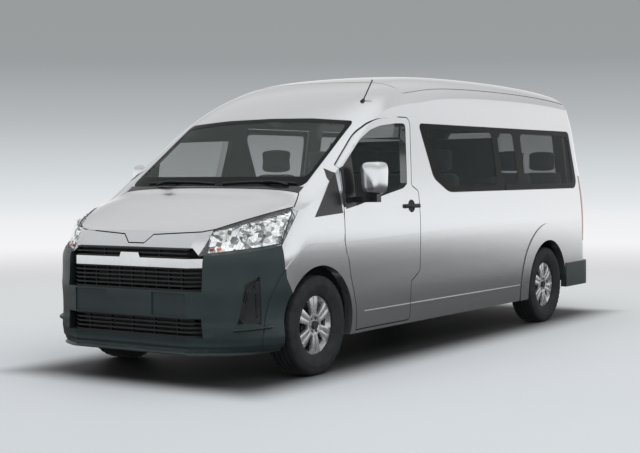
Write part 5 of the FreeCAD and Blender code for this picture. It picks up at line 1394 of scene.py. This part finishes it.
rearSetup = {
    # from one place across to another, height, breadth and how far it stands off, in mm
    "garnish": (-420, 420, 1118, 62, 9), "brakeLamp": (-150, 150, 1905, 16, 4),
    "reflector": (560, 760, 415, 26, 3),
    # metres: ends of the blade and its height, its bow and radius, and the arm's pivot
    "blade": (-0.36, 0.24, 1.305), "bow": 0.01, "bladeRadius": 0.005, "lift": 9,
    "pivot": (0.0, 1.27), "pivotOut": (0, 0.012, -0.004), "armBow": (0, 0.012, 0),
    "arm": 0.012, "armTaper": 0.001, "boss": (0.014, 0.012, 0.019),
}


def makeRearFittings():
    # handle garnish under the rear window, high brake lamp, bumper reflectors and the rear wiper
    setup = rearSetup

    def band(name, node, sizes, material, body, way=1):
        low, high, z, tall, lift = sizes
        ends = sorted((way * low, way * high))
        starts = [(x * mm, castFrom["end"], z * mm) for x in range(ends[0], ends[1] + 1, 20)]
        return addStrip(name, node, starts, (0, -1, 0), tall, lift, material, body)

    addBevel(band("handleGarnish", "tailgate_panel", setup["garnish"], glossBlack, "tailgate"), 3)
    band("highBrakeLamp", "tailgate_panel", setup["brakeLamp"], redLens, "tailgate")
    for side, way in bothSides:
        band(f"bumperReflector_{side}", "rear_bumper", setup["reflector"], redLens, "body",
             way)
    start, end, height = setup["blade"]
    project = endProjector("tailgate_glass", 1, setup["lift"])
    build = bmesh.new()
    blade = [project(start + (end - start) * k / 12,
                     height + setup["bow"] * math.sin(math.pi * k / 12)) for k in range(13)]
    addTube(build, blade, setup["bladeRadius"])
    pivot = project(*setup["pivot"]) + Vector(setup["pivotOut"])
    arm = [pivot.lerp(blade[6], k / 6) + Vector(setup["armBow"]) * math.sin(math.pi * k / 6)
           for k in range(7)]
    addTube(build, arm, [setup["arm"] - setup["armTaper"] * k for k in range(7)], flat=0.6)
    under, over, radius = setup["boss"]
    addTube(build, [pivot - Vector((0, under, 0)), pivot + Vector((0, over, 0))], radius, 20)
    addPiece("rearWiper", build, [mattBlack], "tailgate", 40)


screenSetup = {
    # metres: half width, place on Y, how far the ends lie back, step from one to the next, heights
    "half": 0.79, "ahead": -2.835, "drop": 0.16, "step": 0.02,
    "bands": [(0.305, 0.50), (0.62, 0.93)], "wall": 3,
}


def makeRadiatorScreens():
    # dark mesh behind the grilles
    setup = screenSetup
    for i, (low, high) in enumerate(setup["bands"]):
        build = bmesh.new()
        rows = []
        for k in range(33):
            s = k / 16 - 1
            y = setup["ahead"] + setup["step"] * i + setup["drop"] * abs(s) ** 3.5
            rows.append([build.verts.new((setup["half"] * s, y, low + (high - low) * j / 6))
                         for j in range(7)])
        joinRows(build, rows, closed=False)
        addWall(addPiece(f"radiatorScreen_{i}", build, [mattBlack], "body", 60),
                setup["wall"])


makeLampInsides()
makeRadiatorScreens()
easeBumper()
makeVents()
makeMirrors()
makePillarFoot()
makeTrims()
makeRearFittings()
print("lamps, mirrors, trims and rear fittings made")

studioSetup = {
    "floorReach": 60.0,
    "ahead": (-0.5564, 0.8309),  # the photograph's viewing direction on the floor
    # metres along that direction and tone, a painted fall-off of light over the paper from darker
    # near the camera to brighter far off, then metres from the middle and tone
    "paintedFloorFalloff": [(-5.0, "#ced3d7"), (-3.2, "#ced3d7"), (-1.2, "#d5d9dd"), (1.2, "#e0e4e6"),
                   (4.5, "#eaedee"), (9.5, "#f5f4f7")],
    "farTones": [(0.0, "#e6e9eb"), (6.0, "#e6e9eb"), (9.5, "#f5f4f7"), (16.0, "#f4f4f6"),
                 (31.0, "#edeef0"), (41.0, "#e7eaed"), (56.0, "#e1e5e8")],
    "paper": 0.7,  # share of the tones that the lit paper keeps under the lamps
    # metres from the middle, and how bright lacquer and glass mirror the floor there: a painted
    # reflection, dark near the body as painted shade
    "paintedFloorReflection": [(0.0, 0.07), (5.0, 0.09), (8.2, 0.22), (11.5, 0.66), (16.0, 1.05),
                    (60.0, 1.1)],
    # painted shadow: the paper's colour is darkened over the body's outline, with a soft edge
    "halfBody": (0.93, 2.86),
    "shade": 0.1,  # what is left of the paper's tone right under the body
    "shadeEdge": (-0.12, 0.42), "shadeBlend": 0.25,
    "fadeFrom": 7.0,
    "fadeTo": 16.0,
    # degrees above the horizon, with the tone or brightness of the surround there
    "skyTones": [(-2.2, "#edeef0"), (-0.3, "#d7dcdf"), (2.33, "#b5b9bc"), (4.9, "#9a9ea0"),
                 (8.5, "#989c9b"), (60.0, "#989c9b")],
    "mirrored": [(-90.0, 0.1), (-2.0, 1.05), (4.0, 1.0), (12.0, 0.72), (22.0, 0.55), (33.0, 0.68),
                 (46.0, 0.6), (56.0, 0.85), (90.0, 1.0)],
    "soft": [(-90.0, 0.2), (0.0, 0.3), (15.0, 0.45), (40.0, 1.0), (90.0, 1.5)],
}


def grey(value):
    return value, value, value, 1.0


def rampOver(tree, source, stops):
    # colours laid over a measured value, from the first stop's value to the last one's
    low, high = stops[0][0], stops[-1][0]
    share = addNode(tree, "ShaderNodeMapRange", {"From Min": low, "From Max": high},
                    {"Value": source})
    ramp = addNode(tree, "ShaderNodeValToRGB", links={"Fac": share.outputs["Result"]})
    setRamp(ramp, [((value - low) / (high - low), tone) for value, tone in stops])
    return ramp.outputs["Color"]


def makeFloor():
    # Matt paper that runs up into the backdrop, toned with a painted fall-off of light, a painted
    # shadow under the body and, for lacquer and glass, a painted reflection. Beyond the soft shadow
    # it glows by itself for the camera, so that no edge shows against the backdrop.
    setup = studioSetup
    mesh = bpy.data.meshes.new("studioFloor")
    build = bmesh.new()
    bmesh.ops.create_circle(build, cap_ends=True, radius=setup["floorReach"], segments=96)
    build.to_mesh(mesh)
    build.free()
    floor = addObject("studioFloor", mesh)
    material, tree, shader, place = startMaterial("mattStudioPaper", **{
        "Roughness": 0.65, "Specular IOR Level": 0.25,
    })
    # painted light: the paper's tone rises along the viewing direction, a painted fall-off rather
    # than the paper's own colour
    x, y = setup["ahead"]
    along = addNode(tree, "ShaderNodeVectorMath", {1: (x, y, 0.0)}, {0: place},
                    operation="DOT_PRODUCT")
    paper = rampOver(tree, along.outputs["Value"],
                     [(q, linear(tone)) for q, tone in setup["paintedFloorFalloff"]])
    # painted shadow: under the body hardly any light arrives, so the paper's tone is darkened
    # there, with a soft edge round it
    apart = addNode(tree, "ShaderNodeSeparateXYZ", links={"Vector": place})
    past = []
    for axis, half in zip("XY", setup["halfBody"]):
        far = addNode(tree, "ShaderNodeMath", links={0: apart.outputs[axis]}, operation="ABSOLUTE")
        past.append(addNode(tree, "ShaderNodeMath", {1: half}, {0: far.outputs["Value"]},
                            operation="SUBTRACT").outputs["Value"])
    reach = addNode(tree, "ShaderNodeMath", {2: setup["shadeBlend"]}, {0: past[0], 1: past[1]},
                    operation="SMOOTH_MAX")
    inner, outer = setup["shadeEdge"]
    shade = addNode(tree, "ShaderNodeMapRange", {
        "From Min": inner, "From Max": outer, "To Min": setup["shade"], "To Max": 1.0,
    }, {"Value": reach.outputs["Value"]}, interpolation_type="SMOOTHSTEP")
    keep = addNode(tree, "ShaderNodeMath", {1: setup["paper"]}, {0: shade.outputs["Result"]},
                   operation="MULTIPLY")
    lit = addNode(tree, "ShaderNodeVectorMath", links={0: paper, "Scale": keep.outputs["Value"]},
                  operation="SCALE")
    tree.links.new(lit.outputs["Vector"], shader.inputs["Base Color"])
    rays = addNode(tree, "ShaderNodeLightPath")
    away = addNode(tree, "ShaderNodeVectorMath", links={0: place}, operation="LENGTH")
    fade = addNode(tree, "ShaderNodeMapRange", {
        "From Min": setup["fadeFrom"], "From Max": setup["fadeTo"],
    }, {"Value": away.outputs["Value"]}, interpolation_type="SMOOTHSTEP")
    seen = addNode(tree, "ShaderNodeMath", links={
        0: fade.outputs["Result"], 1: rays.outputs["Is Camera Ray"],
    }, operation="MULTIPLY")
    farPaper = rampOver(tree, away.outputs["Value"],
                        [(d, linear(tone)) for d, tone in setup["farTones"]])
    glow = addNode(tree, "ShaderNodeEmission", links={"Color": farPaper})
    # painted reflection: for glossy rays the floor is a glow, dark near the body as painted shade
    # of the floor round it
    paintedReflectionTone = rampOver(tree, away.outputs["Value"], [(d, grey(v)) for d, v in setup["paintedFloorReflection"]])
    mirrored = addNode(tree, "ShaderNodeEmission", links={"Color": paintedReflectionTone})
    both = addNode(tree, "ShaderNodeMixShader", links={
        0: seen.outputs["Value"], 1: shader.outputs["BSDF"], 2: glow.outputs["Emission"],
    })
    last = addNode(tree, "ShaderNodeMixShader", links={
        0: rays.outputs["Is Glossy Ray"], 1: both.outputs["Shader"],
        2: mirrored.outputs["Emission"],
    })
    output = next(n for n in tree.nodes if n.type == "OUTPUT_MATERIAL")
    tree.links.new(last.outputs["Shader"], output.inputs["Surface"])
    mesh.materials.append(material)


def makeSurround():
    # The camera sees the grey backdrop, lacquer mirrors a room that darkens downwards, and soft
    # light comes mostly from above.
    setup = studioSetup
    world = bpy.data.worlds.new("studio")
    scene.world = world
    world.use_nodes = True
    tree = world.node_tree
    tree.nodes.clear()
    direction = addNode(tree, "ShaderNodeTexCoord").outputs["Generated"]
    height = addNode(tree, "ShaderNodeSeparateXYZ", links={"Vector": direction}).outputs["Z"]
    angle = addNode(tree, "ShaderNodeMath", links={0: height}, operation="ARCSINE").outputs["Value"]

    def byAngle(stops):
        tones = rampOver(tree, angle, [(math.radians(a), tone) for a, tone in stops])
        glow = addNode(tree, "ShaderNodeBackground", {"Strength": 1.0}, {"Color": tones})
        return glow.outputs["Background"]

    seen = byAngle([(a, linear(tone)) for a, tone in setup["skyTones"]])
    mirrored = byAngle([(a, grey(v)) for a, v in setup["mirrored"]])
    soft = byAngle([(a, grey(v)) for a, v in setup["soft"]])
    rays = addNode(tree, "ShaderNodeLightPath")
    through = addNode(tree, "ShaderNodeMath", links={
        0: rays.outputs["Is Camera Ray"], 1: rays.outputs["Is Transmission Ray"],
    }, operation="MAXIMUM")
    room = addNode(tree, "ShaderNodeMixShader", links={
        0: rays.outputs["Is Glossy Ray"], 1: soft, 2: mirrored,
    })
    both = addNode(tree, "ShaderNodeMixShader", links={
        0: through.outputs["Value"], 1: room.outputs["Shader"], 2: seen,
    })
    addNode(tree, "ShaderNodeOutputWorld", links={"Surface": both.outputs["Shader"]})


lightSetup = {  # metres and watts; the surround stands for the lamps in mirroring surfaces
    "overhead": {"place": (1.0, -1.5, 7.0), "aim": (0, -0.3, 1.0), "size": (8.0, 9.0),
                 "power": 330},
    "leftFront": {"place": (7.5, -5.5, 5.5), "aim": (0, 0, 1.4), "size": (5.0, 2.5),
                  "power": 190},
}


def makeLights():
    for name, setup in lightSetup.items():
        data = bpy.data.lights.new(name, "AREA")
        data.shape = "RECTANGLE"
        data.size, data.size_y = setup["size"]
        data.energy = setup["power"]
        lamp = addObject(name, data)
        lamp.visible_glossy = False
        lamp.location = setup["place"]
        aim = Vector(setup["aim"]) - Vector(setup["place"])
        lamp.rotation_mode = "QUATERNION"
        lamp.rotation_quaternion = aim.to_track_quat("-Z", "Y")


makeFloor()
makeSurround()
makeLights()
scene.view_settings.view_transform = "Standard"
print("studio made")
